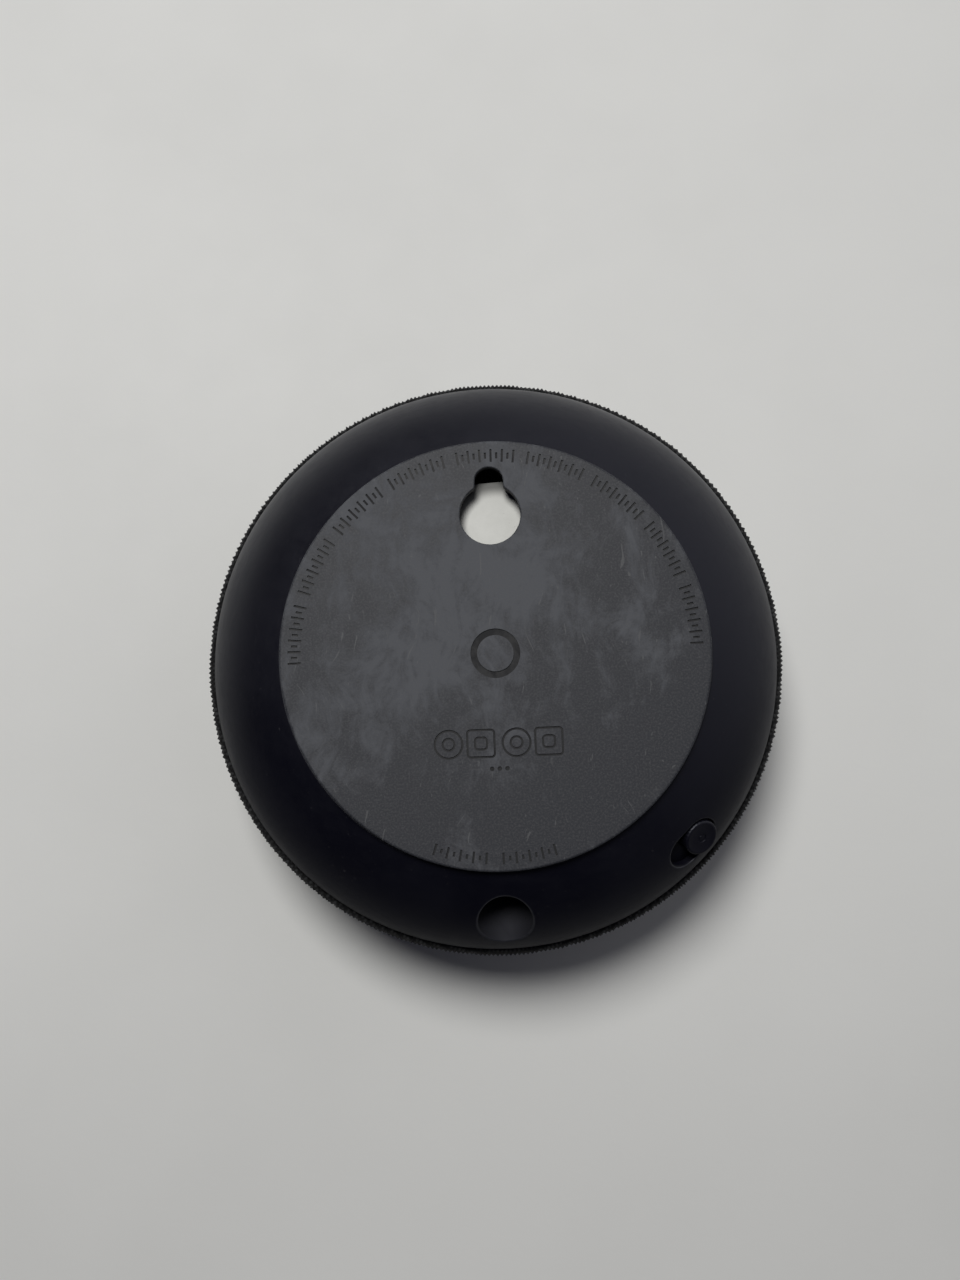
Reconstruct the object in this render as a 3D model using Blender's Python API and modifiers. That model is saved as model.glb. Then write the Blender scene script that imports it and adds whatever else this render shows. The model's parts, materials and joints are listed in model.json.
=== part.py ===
"""Puck speaker: a round, fabric-topped wireless speaker, modelled standing on its rubber foot.

The origin is the centre of the foot's underside. +Z points up to the fabric crown, +Y to the power
port at the back and -Y to the wall-hanging keyhole. All sizes below are in millimetres; the helpers
turn them into metres.
"""

import math

import bmesh
import bpy
from mathutils import Matrix, Vector

MM = 0.001

# Outer form
BODY_R = 49.0
BODY_H = 42.0
EQUATOR_Z = 17.0
LOWER_DROP = 21.7  # vertical half axis of the cover's ellipse below the equator
SHELL_R = 48.2  # the base shell's ellipse lies inside the cover's, which stands proud of it
SHELL_DROP = 22.07
DOME_POWER = 2.25  # squareness of the upper dome, 2 is an ellipse
SPLIT_Z = 16.0  # top of the base shell's visible wall
TONGUE_R = (43.4, 44.8)
TONGUE_TOP = 18.5
HEM_IN = 45.9
HEM_Z = (16.25, 16.9)
HEM_ROUND = 0.4
GASKET_R = (45.1, 45.7)  # the seal under the hem, between it and the tongue

# Skins
FABRIC_T = 0.9
SKIN_GAP = 0.15
HOUSING_T = 1.6
SHELL_T = 1.8
DOME_STEPS = 7
BIG_STEPS = 48  # segments round the large turned pieces
MID_STEPS = 24
SMALL_STEPS = 10

# Foot and wall-hanging keyhole
FOOT_R = 34.4
FOOT_TOP = 1.25
FOOT_EDGE = 0.35
ADHESIVE_R = 33.6
ADHESIVE_Z = (1.35, 1.5)
FLOOR_Z = (1.6, 3.0)
KEY_Y = -22.3
KEY_R = 4.9
KEY_SLOT_Y = -27.75
KEY_SLOT_R = 2.3
POCKET_Y = -24.0
POCKET_R = 9.9
POCKET_CEILING = 6.2
LINER_X = 0.7
LINER_R = 6.5
LINER_Z = (3.5, 4.1)
LINER_ARC = (-71.0, 245.0)  # the liner's round edge, closed by a straight one across the slot
LINER_BOSS_R = 3.5

# Screws that close the case
BASE_SCREW_R = 31.4
BASE_SCREW_AZ = (20.0, 160.0, 225.0, 315.0)
CHASSIS_SCREW_R = 29.9
CHASSIS_SCREW_AZ = (90.0, 200.0, 340.0)
SCREW_HOLE_R = 1.15
POST_R = 3.3
PILLAR_R = 2.7
HEAD_RECESS_R = 2.4
HEAD_RECESS_TOP = 3.45

# Power port, whose axis dips below the horizontal
PORT_AZ = 90.0
PORT_Z = 7.1
PORT_DIP = 16.0
PORT_R = 4.4
PORT_TUBE_R = 5.6
JACK_FACE = -6.9  # along the port's axis from the wall, inwards is negative

# Microphone switch
SLIDER_AZ = 45.5
SLIDER_Z = 8.3
SLIDER_DIP = 52.0
SLIDER_TRAVEL = 3.0
KNOB_R = 3.05
SLOT_R = 3.3
KNOB_TOP = 0.45
CARRIER_Z = (-3.4, -2.8)
CARRIER_R = 3.6
CARRIER_HALF = 6.8
CARRIER_ROOM = (8.6, 3.8)  # half length and end radius of the hollow that the carrier slides in
CARRIER_ROOM_Z = (-6.0, -2.35)

# Speaker driver, on the Z axis
CHAMBER_R = 26.5
CHAMBER_Z = (12.0, 28.4)
DRIVER_OPENING_R = 19.6
YOKE_Z = (14.0, 15.8)
POLE_R = 5.9
POLE_TOP = 22.2
CONE_REST_Z = 27.0

# Boards
BOARD_R = 26.6
BOARD_Z = (10.0, 10.8)
WIRE_HOLE = (-21.0, 7.0)
WIRE_HOLE_R = 1.9
TOUCH_R = 27.0
TOUCH_WINDOW_R = 21.8
TOUCH_Z = (34.5, 35.3)
BAR_HALF = 4.5
LED_X = (-9.0, -3.0, 3.0, 9.0)
MIC_AZ = (30.0, 150.0, 270.0)
MIC_R = 24.0


# ---------------------------------------------------------------- scene and material helpers

def clear_scene():
    for ob in list(bpy.data.objects):
        bpy.data.objects.remove(ob, do_unlink=True)


def new_collection(name):
    collection = bpy.data.collections.new(name)
    bpy.context.scene.collection.children.link(collection)
    return collection


def paint(ob, colour, roughness, metallic=0.0):
    """Gives a sub-part its own plain material."""
    mat = bpy.data.materials.new(ob.name + "_material")
    mat.use_nodes = True
    shader = mat.node_tree.nodes["Principled BSDF"]
    shader.inputs["Base Color"].default_value = (*colour, 1.0)
    shader.inputs["Roughness"].default_value = roughness
    shader.inputs["Metallic"].default_value = metallic
    ob.data.materials.clear()
    ob.data.materials.append(mat)
    return ob


BLACK_PLASTIC = ((0.018, 0.018, 0.024), 0.45)
SILICONE = ((0.085, 0.087, 0.09), 0.75)
CHARCOAL_KNIT = ((0.035, 0.036, 0.04), 0.95)
PALE_PLASTIC = ((0.62, 0.63, 0.6), 0.55)
ORANGE = ((0.85, 0.27, 0.05), 0.5)
STEEL = ((0.55, 0.55, 0.56), 0.35, 1.0)
CAST_ALUMINIUM = ((0.6, 0.61, 0.62), 0.5, 1.0)
FERRITE = ((0.05, 0.05, 0.052), 0.6)
COPPER = ((0.72, 0.36, 0.2), 0.35, 1.0)
BRASS = ((0.72, 0.56, 0.27), 0.3, 1.0)
GREEN_BOARD = ((0.02, 0.12, 0.07), 0.4)
RUBBER = ((0.02, 0.02, 0.02), 0.8)
PAPER_CONE = ((0.09, 0.09, 0.09), 0.85)
TREATED_CLOTH = ((0.65, 0.42, 0.14), 0.9)
AMBER_FILM = ((0.55, 0.27, 0.06), 0.4)
GREY_PAD = ((0.45, 0.5, 0.55), 0.8)
WHITE_LENS = ((0.85, 0.85, 0.83), 0.3)
RED_WIRE = ((0.6, 0.03, 0.03), 0.45)
BLACK_WIRE = ((0.02, 0.02, 0.02), 0.45)


# ---------------------------------------------------------------- shape helpers

def add_object(name, mesh, collection, matrix=None):
    ob = bpy.data.objects.new(name, mesh)
    collection.objects.link(ob)
    if matrix is not None:
        ob.matrix_world = matrix
    return ob


def as_cutter(ob):
    ob.hide_render = True
    ob.display_type = "WIRE"
    return ob


def boolean(ob, other, operation):
    mod = ob.modifiers.new(operation.title() + " " + other.name, "BOOLEAN")
    mod.operation = operation
    mod.object = other
    mod.solver = "EXACT"


def turned(name, points, collection, steps=MID_STEPS, closed=False, matrix=None):
    """Turns a profile of (radius, height) points round its own Z axis; the outer side runs down."""
    count = len(points)
    edges = [(i, i + 1) for i in range(count - 1)]
    if closed:
        edges.append((count - 1, 0))
    mesh = bpy.data.meshes.new(name)
    mesh.from_pydata([(r * MM, 0.0, z * MM) for r, z in points], edges, [])
    ob = add_object(name, mesh, collection, matrix)
    turn = ob.modifiers.new("Turn", "SCREW")
    turn.axis = "Z"
    turn.angle = math.tau
    turn.steps = steps
    turn.render_steps = steps
    turn.use_merge_vertices = True
    turn.merge_threshold = 0.00001
    turn.use_smooth_shade = True
    return ob


def ring(name, inner, outer, low, high, collection, steps=MID_STEPS, matrix=None):
    points = [(outer, high), (outer, low), (inner, low), (inner, high)]
    return turned(name, points, collection, steps, closed=True, matrix=matrix)


def disc(name, radius, low, high, collection, steps=MID_STEPS, matrix=None):
    points = [(0.0, high), (radius, high), (radius, low), (0.0, low)]
    return turned(name, points, collection, steps, matrix=matrix)


def smooth_by_angle(mesh, degrees=35.0):
    mesh.shade_smooth()
    mesh.set_sharp_from_angle(angle=math.radians(degrees))


def box(name, size, centre, collection, matrix=None, edge=0.0):
    """A box of size (x, y, z) about a centre given in its frame, with its edges rounded by edge."""
    bm = bmesh.new()
    bmesh.ops.create_cube(bm, size=1.0)
    bmesh.ops.scale(bm, vec=Vector(size) * MM, verts=bm.verts)
    mesh = bpy.data.meshes.new(name)
    bm.to_mesh(mesh)
    bm.free()
    frame = matrix or Matrix()
    ob = add_object(name, mesh, collection, frame @ Matrix.Translation(Vector(centre) * MM))
    if edge:
        rounding = ob.modifiers.new("Edges", "BEVEL")
        rounding.width = edge * MM
        rounding.segments = 1
    return ob


def cylinders(name, radius, low, high, spots, collection, steps=SMALL_STEPS, matrix=None):
    """Upright cylinders of one radius at (x, y) spots, in one mesh, for joining or cutting."""
    bm = bmesh.new()
    for x, y in spots:
        placed = Matrix.Translation(Vector((x, y, (low + high) / 2)) * MM)
        bmesh.ops.create_cone(
            bm, cap_ends=True, segments=steps, radius1=radius * MM, radius2=radius * MM,
            depth=(high - low) * MM, matrix=placed,
        )
    mesh = bpy.data.meshes.new(name)
    bm.to_mesh(mesh)
    bm.free()
    smooth_by_angle(mesh)
    return add_object(name, mesh, collection, matrix)


def mesh_from_curve(ob, collection):
    """Replaces a curve object by the welded mesh of its surface."""
    graph = bpy.context.evaluated_depsgraph_get()
    graph.update()
    mesh = bpy.data.meshes.new_from_object(ob.evaluated_get(graph))
    name = ob.name
    matrix = ob.matrix_world.copy()
    bpy.data.objects.remove(ob, do_unlink=True)
    bm = bmesh.new()
    bm.from_mesh(mesh)
    bmesh.ops.remove_doubles(bm, verts=bm.verts, dist=0.000001)
    bmesh.ops.recalc_face_normals(bm, faces=bm.faces)
    bm.to_mesh(mesh)
    bm.free()
    mesh.name = name
    smooth_by_angle(mesh)
    return add_object(name, mesh, collection, matrix)


def poly_curve(name, points, cyclic, flat):
    curve = bpy.data.curves.new(name, "CURVE")
    curve.dimensions = "2D" if flat else "3D"
    spline = curve.splines.new("POLY")
    spline.points.add(len(points) - 1)
    for point, place in zip(spline.points, points):
        point.co = (*(Vector(place).to_3d() * MM), 1.0)
    spline.use_cyclic_u = cyclic
    return curve


def prism(name, outline, low, high, collection, matrix=None):
    """A flat outline of (x, y) points with thickness from low to high."""
    curve = poly_curve(name, outline, cyclic=True, flat=True)
    curve.fill_mode = "BOTH"
    curve.extrude = (high - low) / 2 * MM
    lift = Matrix.Translation((0.0, 0.0, (low + high) / 2 * MM))
    ob = add_object(name, curve, collection, (matrix or Matrix()) @ lift)
    bpy.context.view_layer.update()
    return mesh_from_curve(ob, collection)


def wire(name, points, radius, collection):
    curve = poly_curve(name, points, cyclic=False, flat=False)
    curve.bevel_depth = radius * MM
    curve.bevel_resolution = 1
    curve.use_fill_caps = True
    ob = add_object(name, curve, collection)
    bpy.context.view_layer.update()
    return mesh_from_curve(ob, collection)


def ribbon(name, path, width, thickness, collection, matrix=None):
    """A flat strip whose middle follows a path in its frame's XY plane, width along that frame's Z."""
    curve = poly_curve(name, path, cyclic=False, flat=True)
    curve.fill_mode = "NONE"
    curve.extrude = width / 2 * MM
    ob = add_object(name, curve, collection, matrix)
    bpy.context.view_layer.update()
    strip = mesh_from_curve(ob, collection)
    sheet = strip.modifiers.new("Sheet", "SOLIDIFY")
    sheet.thickness = thickness * MM
    sheet.offset = 0.0
    return strip


def arc(centre, radius, start, stop, count):
    """Points along an arc, angles in degrees."""
    angles = [math.radians(start + (stop - start) * i / (count - 1)) for i in range(count)]
    return [(centre[0] + radius * math.cos(a), centre[1] + radius * math.sin(a)) for a in angles]


def stadium(half, radius, count=10):
    """A long slot's outline along X, half its overall length and its end radius given."""
    reach = half - radius
    return arc((reach, 0), radius, -90, 90, count) + arc((-reach, 0), radius, 90, 270, count)


def keyhole(circle_r, slot_r, count=22):
    """The wall-hanging opening: a round entry with a narrow slot towards -Y."""
    lean = math.degrees(math.asin(slot_r / circle_r))
    entry = arc((0, KEY_Y), circle_r, -90 + lean, 270 - lean, count)
    return entry + arc((0, KEY_SLOT_Y), slot_r, 180, 360, 9)


def polar(radius, azimuth):
    turn = math.radians(azimuth)
    return (radius * math.cos(turn), radius * math.sin(turn))


# ---------------------------------------------------------------- the outer skin

def ellipse_radius(half_width, half_height, z):
    return half_width * math.sqrt(1.0 - ((EQUATOR_Z - z) / half_height) ** 2)


def cover_radius(z, inset=0.0):
    """Radius of the cover below the equator, inset into the body along both of its axes."""
    return ellipse_radius(BODY_R - inset, LOWER_DROP - inset, z)


def wall_radius(z, inset=0.0):
    """Radius of the base shell's wall at height z, inset in the same way."""
    return ellipse_radius(SHELL_R - inset, SHELL_DROP - inset, z)


def dome_point(angle, inset):
    """Point of the upper dome, angle 90 at the crown, moved inwards along its normal."""
    rise = BODY_H - EQUATOR_Z
    side = math.cos(math.radians(angle))
    up = math.sin(math.radians(angle))
    r = BODY_R * max(side, 0.0) ** (2 / DOME_POWER)
    z = rise * max(up, 0.0) ** (2 / DOME_POWER)
    normal = Vector(((r / BODY_R) ** (DOME_POWER - 1) / BODY_R, (z / rise) ** (DOME_POWER - 1) / rise))
    normal.normalize()
    return (max(r - inset * normal.x, 0.0), EQUATOR_Z + z - inset * normal.y)


def skin(inset, low):
    """The body's outline moved inwards, from the crown to the equator and on down to height low."""
    points = [(0.0, BODY_H - inset)]
    points += [dome_point(90.0 * (1 - i / DOME_STEPS), inset) for i in range(1, DOME_STEPS + 1)]
    return points + ([(cover_radius(low, inset), low)] if low < EQUATOR_Z else [])


def wall_frame(azimuth, z, dip):
    """Frame on the lower wall: X round the body, Z outwards and dipping, Y up along the wall."""
    turn = math.radians(azimuth)
    lean = math.radians(dip)
    radial = Vector((math.cos(turn), math.sin(turn), 0.0))
    round_axis = Vector((-math.sin(turn), math.cos(turn), 0.0))
    out = radial * math.cos(lean) - Vector((0, 0, 1)) * math.sin(lean)
    across = out.cross(round_axis)
    frame = Matrix((round_axis, across, out)).transposed().to_4x4()
    frame.translation = (radial * wall_radius(z) + Vector((0, 0, z))) * MM
    return frame


# ---------------------------------------------------------------- foot and base

def make_foot(parts, cutters):
    edge = FOOT_R - FOOT_EDGE
    profile = [
        (0.0, FOOT_TOP), (FOOT_R - 0.1, FOOT_TOP), (FOOT_R, FOOT_TOP - 0.1), (FOOT_R, FOOT_EDGE),
        (edge + 0.25, 0.1), (edge, 0.0), (0.0, 0.0),
    ]
    foot = paint(turned("foot_pad", profile, parts, BIG_STEPS), *SILICONE)
    opening = prism("foot_keyhole_cut", keyhole(KEY_R, KEY_SLOT_R), -1, 2, cutters)
    boolean(foot, as_cutter(opening), "DIFFERENCE")

    adhesive = disc("foot_adhesive", ADHESIVE_R, *ADHESIVE_Z, parts, MID_STEPS)
    paint(adhesive, *GREY_PAD)
    clear = prism("adhesive_keyhole_cut", keyhole(KEY_R + 0.5, KEY_SLOT_R + 0.5), 1, 2, cutters)
    boolean(adhesive, as_cutter(clear), "DIFFERENCE")


def make_base_shell(parts, cutters, port, slot):
    """The bowl: floor, boss posts, port tube and the tongue that enters the top housing."""
    tongue_in, tongue_out = TONGUE_R
    floor_low, floor_top = FLOOR_Z
    inside = [(wall_radius(z, SHELL_T), z) for z in (floor_top, 4.5, 6.5, 9.0, 12.5)]
    heights = (SPLIT_Z, 13.0, 10.0, 8.0, 6.0, 4.4, 3.0, 2.1, 1.7)
    outside = [(wall_radius(z), z) for z in heights]
    lip = [(tongue_in, TONGUE_TOP), (tongue_out, TONGUE_TOP), (tongue_out, SPLIT_Z)]
    end = [(outside[-1][0] - 0.2, floor_low), (0.0, floor_low)]
    profile = [(0.0, floor_top)] + inside + lip + outside + end
    shell = paint(turned("base_shell", profile, parts, BIG_STEPS), *BLACK_PLASTIC)

    body = [(0.0, SPLIT_Z)]
    body += [(wall_radius(z, 0.6), z) for z in (SPLIT_Z, 12.0, 9.0, 6.0, 4.0, 2.6)] + [(0.0, 2.6)]
    inset_body = as_cutter(turned("base_inset_body", body, cutters, BIG_STEPS))
    tube = cylinders("port_tube", PORT_TUBE_R, JACK_FACE + 0.4, 9, [(0, 0)], cutters, 24, port)
    boolean(as_cutter(tube), inset_body, "INTERSECT")
    boolean(shell, tube, "UNION")

    spots = [polar(BASE_SCREW_R, az) for az in BASE_SCREW_AZ]
    posts = cylinders("boss_posts", POST_R, floor_low + 0.6, 9.0, spots, cutters, 14)
    boolean(shell, as_cutter(posts), "UNION")
    shanks = cylinders("boss_holes", SCREW_HOLE_R + 0.1, 0, 11, spots, cutters)
    boolean(shell, as_cutter(shanks), "DIFFERENCE")
    heads = cylinders("head_recesses", HEAD_RECESS_R, 0, HEAD_RECESS_TOP, spots, cutters, 14)
    boolean(shell, as_cutter(heads), "DIFFERENCE")

    opening = prism("floor_keyhole_cut", keyhole(KEY_R + 0.25, KEY_SLOT_R + 0.25), 1, 4, cutters)
    boolean(shell, as_cutter(opening), "DIFFERENCE")
    bore = cylinders("port_bore", PORT_R, JACK_FACE - 0.5, 10, [(0, 0)], cutters, 24, port)
    boolean(shell, as_cutter(bore), "DIFFERENCE")
    half = SLIDER_TRAVEL / 2 + SLOT_R
    opening = prism("slider_slot_cut", stadium(half, SLOT_R), -3.0, 3, cutters, slot)
    boolean(shell, as_cutter(opening), "DIFFERENCE")
    room = prism("slider_pocket_cut", stadium(*CARRIER_ROOM), *CARRIER_ROOM_Z, cutters, slot)
    boolean(shell, as_cutter(room), "DIFFERENCE")


def make_wall_mount(parts, cutters):
    """The closed pocket behind the keyhole, and the pale liner seen through it."""
    low, top = FLOOR_Z[1] + 0.3, POCKET_CEILING + 1.2
    inner = POCKET_R - 1.3
    profile = [(0.0, top), (POCKET_R, top), (POCKET_R, low), (inner, low), (inner, POCKET_CEILING),
               (0.0, POCKET_CEILING)]
    spot = Matrix.Translation((0.0, POCKET_Y * MM, 0.0))
    paint(turned("wall_mount_pocket", profile, parts, 24, matrix=spot), *BLACK_PLASTIC)
    outline = arc((LINER_X, KEY_Y), LINER_R, *LINER_ARC, 22)
    liner = paint(prism("pocket_liner", outline, *LINER_Z, parts), *PALE_PLASTIC)
    spot = Matrix.Translation((LINER_X * MM, KEY_Y * MM, 0.0))
    boss_top = POCKET_CEILING - 0.1
    boss = disc("liner_boss", LINER_BOSS_R, LINER_Z[0] + 0.2, boss_top, cutters, 16, spot)
    boolean(liner, as_cutter(boss), "UNION")


def screw_profile(head_r, shank_r, head_low, head_high, tip):
    """Pan-head screw driven upwards, with a round driver recess in its underside."""
    socket_r, socket_top = 0.8, head_low + 0.8
    return [
        (0.0, tip), (shank_r * 0.7, tip), (shank_r, tip - 0.5), (shank_r, head_high),
        (head_r, head_high), (head_r, head_low), (socket_r, head_low), (socket_r, socket_top),
        (0.0, socket_top),
    ]


def make_screws(parts):
    rows = (
        ("base_screw", BASE_SCREW_R, BASE_SCREW_AZ, screw_profile(2.0, 0.95, 1.85, 3.2, 16.0)),
        ("chassis_screw", CHASSIS_SCREW_R, CHASSIS_SCREW_AZ,
         screw_profile(1.8, 0.9, 25.1, 26.4, 32.5)),
    )
    for stem, radius, azimuths, profile in rows:
        for number, azimuth in enumerate(azimuths, 1):
            x, y = polar(radius, azimuth)
            spot = Matrix.Translation((x * MM, y * MM, 0.0))
            name = f"{stem}_{number}"
            paint(turned(name, profile, parts, SMALL_STEPS, matrix=spot), *STEEL)


# ---------------------------------------------------------------- microphone switch

def make_slider(parts, cutters, slot):
    """Outer knob with its hidden carrier, its orange flag and the switch lever it drags."""
    rest = slot @ Matrix.Translation((-SLIDER_TRAVEL / 2 * MM, 0.0, 0.0))
    axis = bpy.data.objects.new("mic_slider_axis", None)
    parts.objects.link(axis)
    axis.matrix_world = rest

    low, top = CARRIER_Z
    profile = [(0.0, KNOB_TOP), (KNOB_R - 0.45, KNOB_TOP), (KNOB_R - 0.1, KNOB_TOP - 0.12),
               (KNOB_R, KNOB_TOP - 0.4), (KNOB_R, low + 0.3), (0.0, low + 0.3)]
    knob = paint(turned("mic_slider_knob", profile, parts, 20), *BLACK_PLASTIC)
    carrier = prism("slider_carrier", stadium(CARRIER_HALF, CARRIER_R), low, top, cutters, rest)
    boolean(knob, as_cutter(carrier), "UNION")
    fork = box("slider_fork_cut", (2.0, 1.6, 3.0), (0, 0, low + 0.3), cutters, rest)
    boolean(knob, as_cutter(fork), "DIFFERENCE")

    flag_r, flag_end = 3.2, -1.3
    outline = arc((-3.2, 0), flag_r, 90, 270, 10) + [(flag_end, -flag_r), (flag_end, flag_r)]
    flag = paint(prism("mute_flag", outline, top + 0.08, top + 0.28, parts), *ORANGE)
    clear = cylinders("flag_knob_cut", KNOB_R + 0.15, -4, 0, [(0, 0)], cutters, 24, rest)
    boolean(flag, as_cutter(clear), "DIFFERENCE")

    lever = paint(box("switch_lever", (1.5, 1.1, 3.2), (0, 0, -3.7), parts, edge=0.15), *RUBBER)
    for piece in (knob, flag, lever):
        place = piece.matrix_world.copy()
        piece.parent = axis
        piece.matrix_local = place


def make_switch(parts, cutters, slot):
    body = paint(box("mute_switch_body", (9.0, 4.0, 2.6), (0, 0, -5.6), parts, slot), *STEEL)
    track = box("switch_track_cut", (5.4, 1.8, 1.6), (0, 0, -4.95), cutters, slot)
    boolean(body, as_cutter(track), "DIFFERENCE")
    board = box("switch_board", (15.0, 8.4, 0.8), (0, 0, -7.55), parts, slot)
    paint(board, *GREEN_BOARD)
    path = arc((0, 0), 36.6, 58, 76, 8)
    lift = Matrix.Translation((0, 0, 15.3 * MM))
    paint(ribbon("switch_flex", path, 4.0, 0.2, parts, lift), *AMBER_FILM)


# ---------------------------------------------------------------- power input

def make_power_jack(parts, cutters, port):
    length = 7.2
    middle = JACK_FACE - length / 2
    back = JACK_FACE - length
    housing = paint(box("dc_jack_housing", (9.4, 9.4, length), (0, 0, middle), parts, port, 0.3),
                    *BLACK_PLASTIC)
    bore = cylinders("jack_bore_cut", 3.15, back + 1.0, -6, [(0, 0)], cutters, 20, port)
    boolean(housing, as_cutter(bore), "DIFFERENCE")
    pin_hole = cylinders("jack_pin_cut", 1.1, back - 1, -8, [(0, 0)], cutters, SMALL_STEPS, port)
    boolean(housing, as_cutter(pin_hole), "DIFFERENCE")

    pin = [(0.0, -7.7), (0.5, -7.7), (0.85, -8.1), (0.85, back - 0.5), (0.0, back - 0.5)]
    paint(turned("dc_jack_pin", pin, parts, SMALL_STEPS, matrix=port), *BRASS)
    spring = box("dc_jack_spring", (0.35, 1.6, 4.4), (2.55, 0, -10.3), parts, port)
    paint(spring, *BRASS)

    board = box("io_board", (14.0, 0.8, 8.3), (0, 5.3, JACK_FACE - 3.95), parts, port)
    paint(board, *GREEN_BOARD)
    upright = Matrix(((0, 0, 1), (1, 0, 0), (0, 1, 0))).to_4x4()  # XY plane becomes YZ
    path = [(32.6, 16.25), (29.5, 17.15), (28.2, 17.2), (27.6, 16.6), (27.6, 9.8), (27.1, 9.3),
            (21.0, 9.3)]
    paint(ribbon("io_flex", path, 6.0, 0.2, parts, upright), *AMBER_FILM)


# ---------------------------------------------------------------- main board and chamber

def make_main_board(parts, cutters):
    board = paint(disc("main_board", BOARD_R, *BOARD_Z, parts, 32), *GREEN_BOARD)
    pass_through = cylinders("board_wire_cut", WIRE_HOLE_R, 9, 12, [WIRE_HOLE], cutters)
    boolean(board, as_cutter(pass_through), "DIFFERENCE")
    cans = (("processor_shield", (20, 15, 1.4), (-8, 4, 9.15)),
            ("radio_shield", (13, 13, 1.4), (11.5, 4, 9.15)))
    for name, size, centre in cans:
        paint(box(name, size, centre, parts, edge=0.25), *STEEL)
    paint(box("thermal_pad", (22, 22, 0.8), (0, 0, 11.4), parts), *GREY_PAD)


def make_chamber(parts, cutters):
    """Die-cast cup that is the driver's back volume and the processor's heat sink."""
    low, top = CHAMBER_Z
    flange_r, flange_low = 28.0, top - 1.4
    inner = CHAMBER_R - 1.5
    profile = [
        (0.0, low + 1.4), (inner - 0.6, low + 1.4), (inner, low + 2.0), (inner, flange_low),
        (DRIVER_OPENING_R, flange_low), (DRIVER_OPENING_R, top), (flange_r, top),
        (flange_r, flange_low), (CHAMBER_R, flange_low - 0.5), (CHAMBER_R, low + 0.6),
        (CHAMBER_R - 0.6, low), (0.0, low),
    ]
    chamber = paint(turned("speaker_chamber", profile, parts, 32), *CAST_ALUMINIUM)
    spots = [polar(CHASSIS_SCREW_R, az) for az in CHASSIS_SCREW_AZ]
    ears = cylinders("chamber_ears", 3.1, flange_low - 0.3, top - 0.2, spots, cutters, 14)
    boolean(chamber, as_cutter(ears), "UNION")
    holes = cylinders("ear_holes", SCREW_HOLE_R, 25, 30, spots, cutters)
    boolean(chamber, as_cutter(holes), "DIFFERENCE")
    wires = cylinders("chamber_wire_cut", WIRE_HOLE_R, 11, 15, [WIRE_HOLE], cutters)
    boolean(chamber, as_cutter(wires), "DIFFERENCE")
    paint(ring("driver_gasket", 18.4, 20.9, top + 0.15, top + 0.65, parts), *RUBBER)


# ---------------------------------------------------------------- speaker driver

def make_motor(parts):
    low, high = YOKE_Z
    yoke = [(0.0, POLE_TOP), (POLE_R, POLE_TOP), (POLE_R, high), (14.5, high), (14.5, low),
            (0.0, low)]
    paint(turned("speaker_yoke", yoke, parts), *STEEL)
    paint(ring("speaker_magnet", 8.6, 15.5, high + 0.2, 20.0, parts), *FERRITE)
    paint(ring("speaker_top_plate", 7.4, 14.5, 20.2, 22.0, parts), *STEEL)


def make_basket(parts, cutters):
    flange_top = 30.2
    profile = [
        (21.0, flange_top), (21.0, 29.2), (18.2, 29.2), (15.6, 23.4), (15.6, 22.2), (8.4, 22.2),
        (8.4, 23.2), (12.6, 23.2), (12.6, 23.9), (14.6, 23.9), (17.2, 29.4), (17.2, flange_top),
    ]
    basket = paint(turned("speaker_basket", profile, parts, MID_STEPS, closed=True), *STEEL)
    for number in range(2):
        turn = Matrix.Rotation(math.radians(45 + 90 * number), 4, "Z")
        window = box(f"basket_window_{number}", (44, 11, 3.6), (0, 0, 26.6), cutters, turn)
        boolean(basket, as_cutter(window), "DIFFERENCE")


def make_suspension(parts):
    """Rolled surround and corrugated spider: they bend as the cone moves."""
    roll, thick = 1.5, 0.35
    middle, base = 17.1, 30.4
    over = arc((middle, base), roll, 0, 180, 6)
    under = arc((middle, base), roll - thick, 180, 0, 6)
    profile = [(20.7, base + thick), (20.7, base)]
    profile += under[::-1] + [(14.9, base - 0.05), (14.9, base + 0.25)] + over[::-1]
    paint(turned("cone_surround", profile, parts, MID_STEPS, closed=True), *RUBBER)

    waves, span = 4, (6.75, 12.7)
    radii = [span[0] + (span[1] - span[0]) * i / waves for i in range(waves + 1)]
    heights = [24.6 + (0.45 if i % 2 else 0.0) for i in range(waves + 1)]
    top = [(r, z + 0.3) for r, z in zip(radii, heights)]
    low = list(zip(radii, heights))
    profile = [(14.2, 24.4), (14.2, 24.1), (13.2, 24.1)] + low[::-1] + top + [(13.3, 24.4)]
    paint(turned("speaker_spider", profile, parts, MID_STEPS, closed=True), *TREATED_CLOTH)


def make_cone(parts):
    """Everything that moves with the cone, hung on one empty on the driver's axis."""
    axis = bpy.data.objects.new("cone_axis", None)
    parts.objects.link(axis)
    axis.location = (0.0, 0.0, CONE_REST_Z * MM)

    cone = [(15.6, 29.9), (15.6, 29.5), (6.75, 25.2), (6.75, 25.6)]
    cap = [(0.0, 28.8), (4.0, 28.2), (7.4, 26.6), (7.2, 26.3), (3.9, 27.8), (0.0, 28.4)]
    pieces = (
        ("speaker_cone", cone, True, PAPER_CONE),
        ("dust_cap", cap, False, PAPER_CONE),
        ("voice_coil_former", [(6.5, 26.2), (6.5, 18.0), (6.3, 18.0), (6.3, 26.2)], True,
         AMBER_FILM),
        ("voice_coil", [(7.1, 22.6), (7.1, 18.4), (6.65, 18.4), (6.65, 22.6)], True, COPPER),
    )
    for name, points, closed, finish in pieces:
        local = [(r, z - CONE_REST_Z) for r, z in points]
        piece = paint(turned(name, local, parts, MID_STEPS, closed=closed), *finish)
        piece.parent = axis


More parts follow.
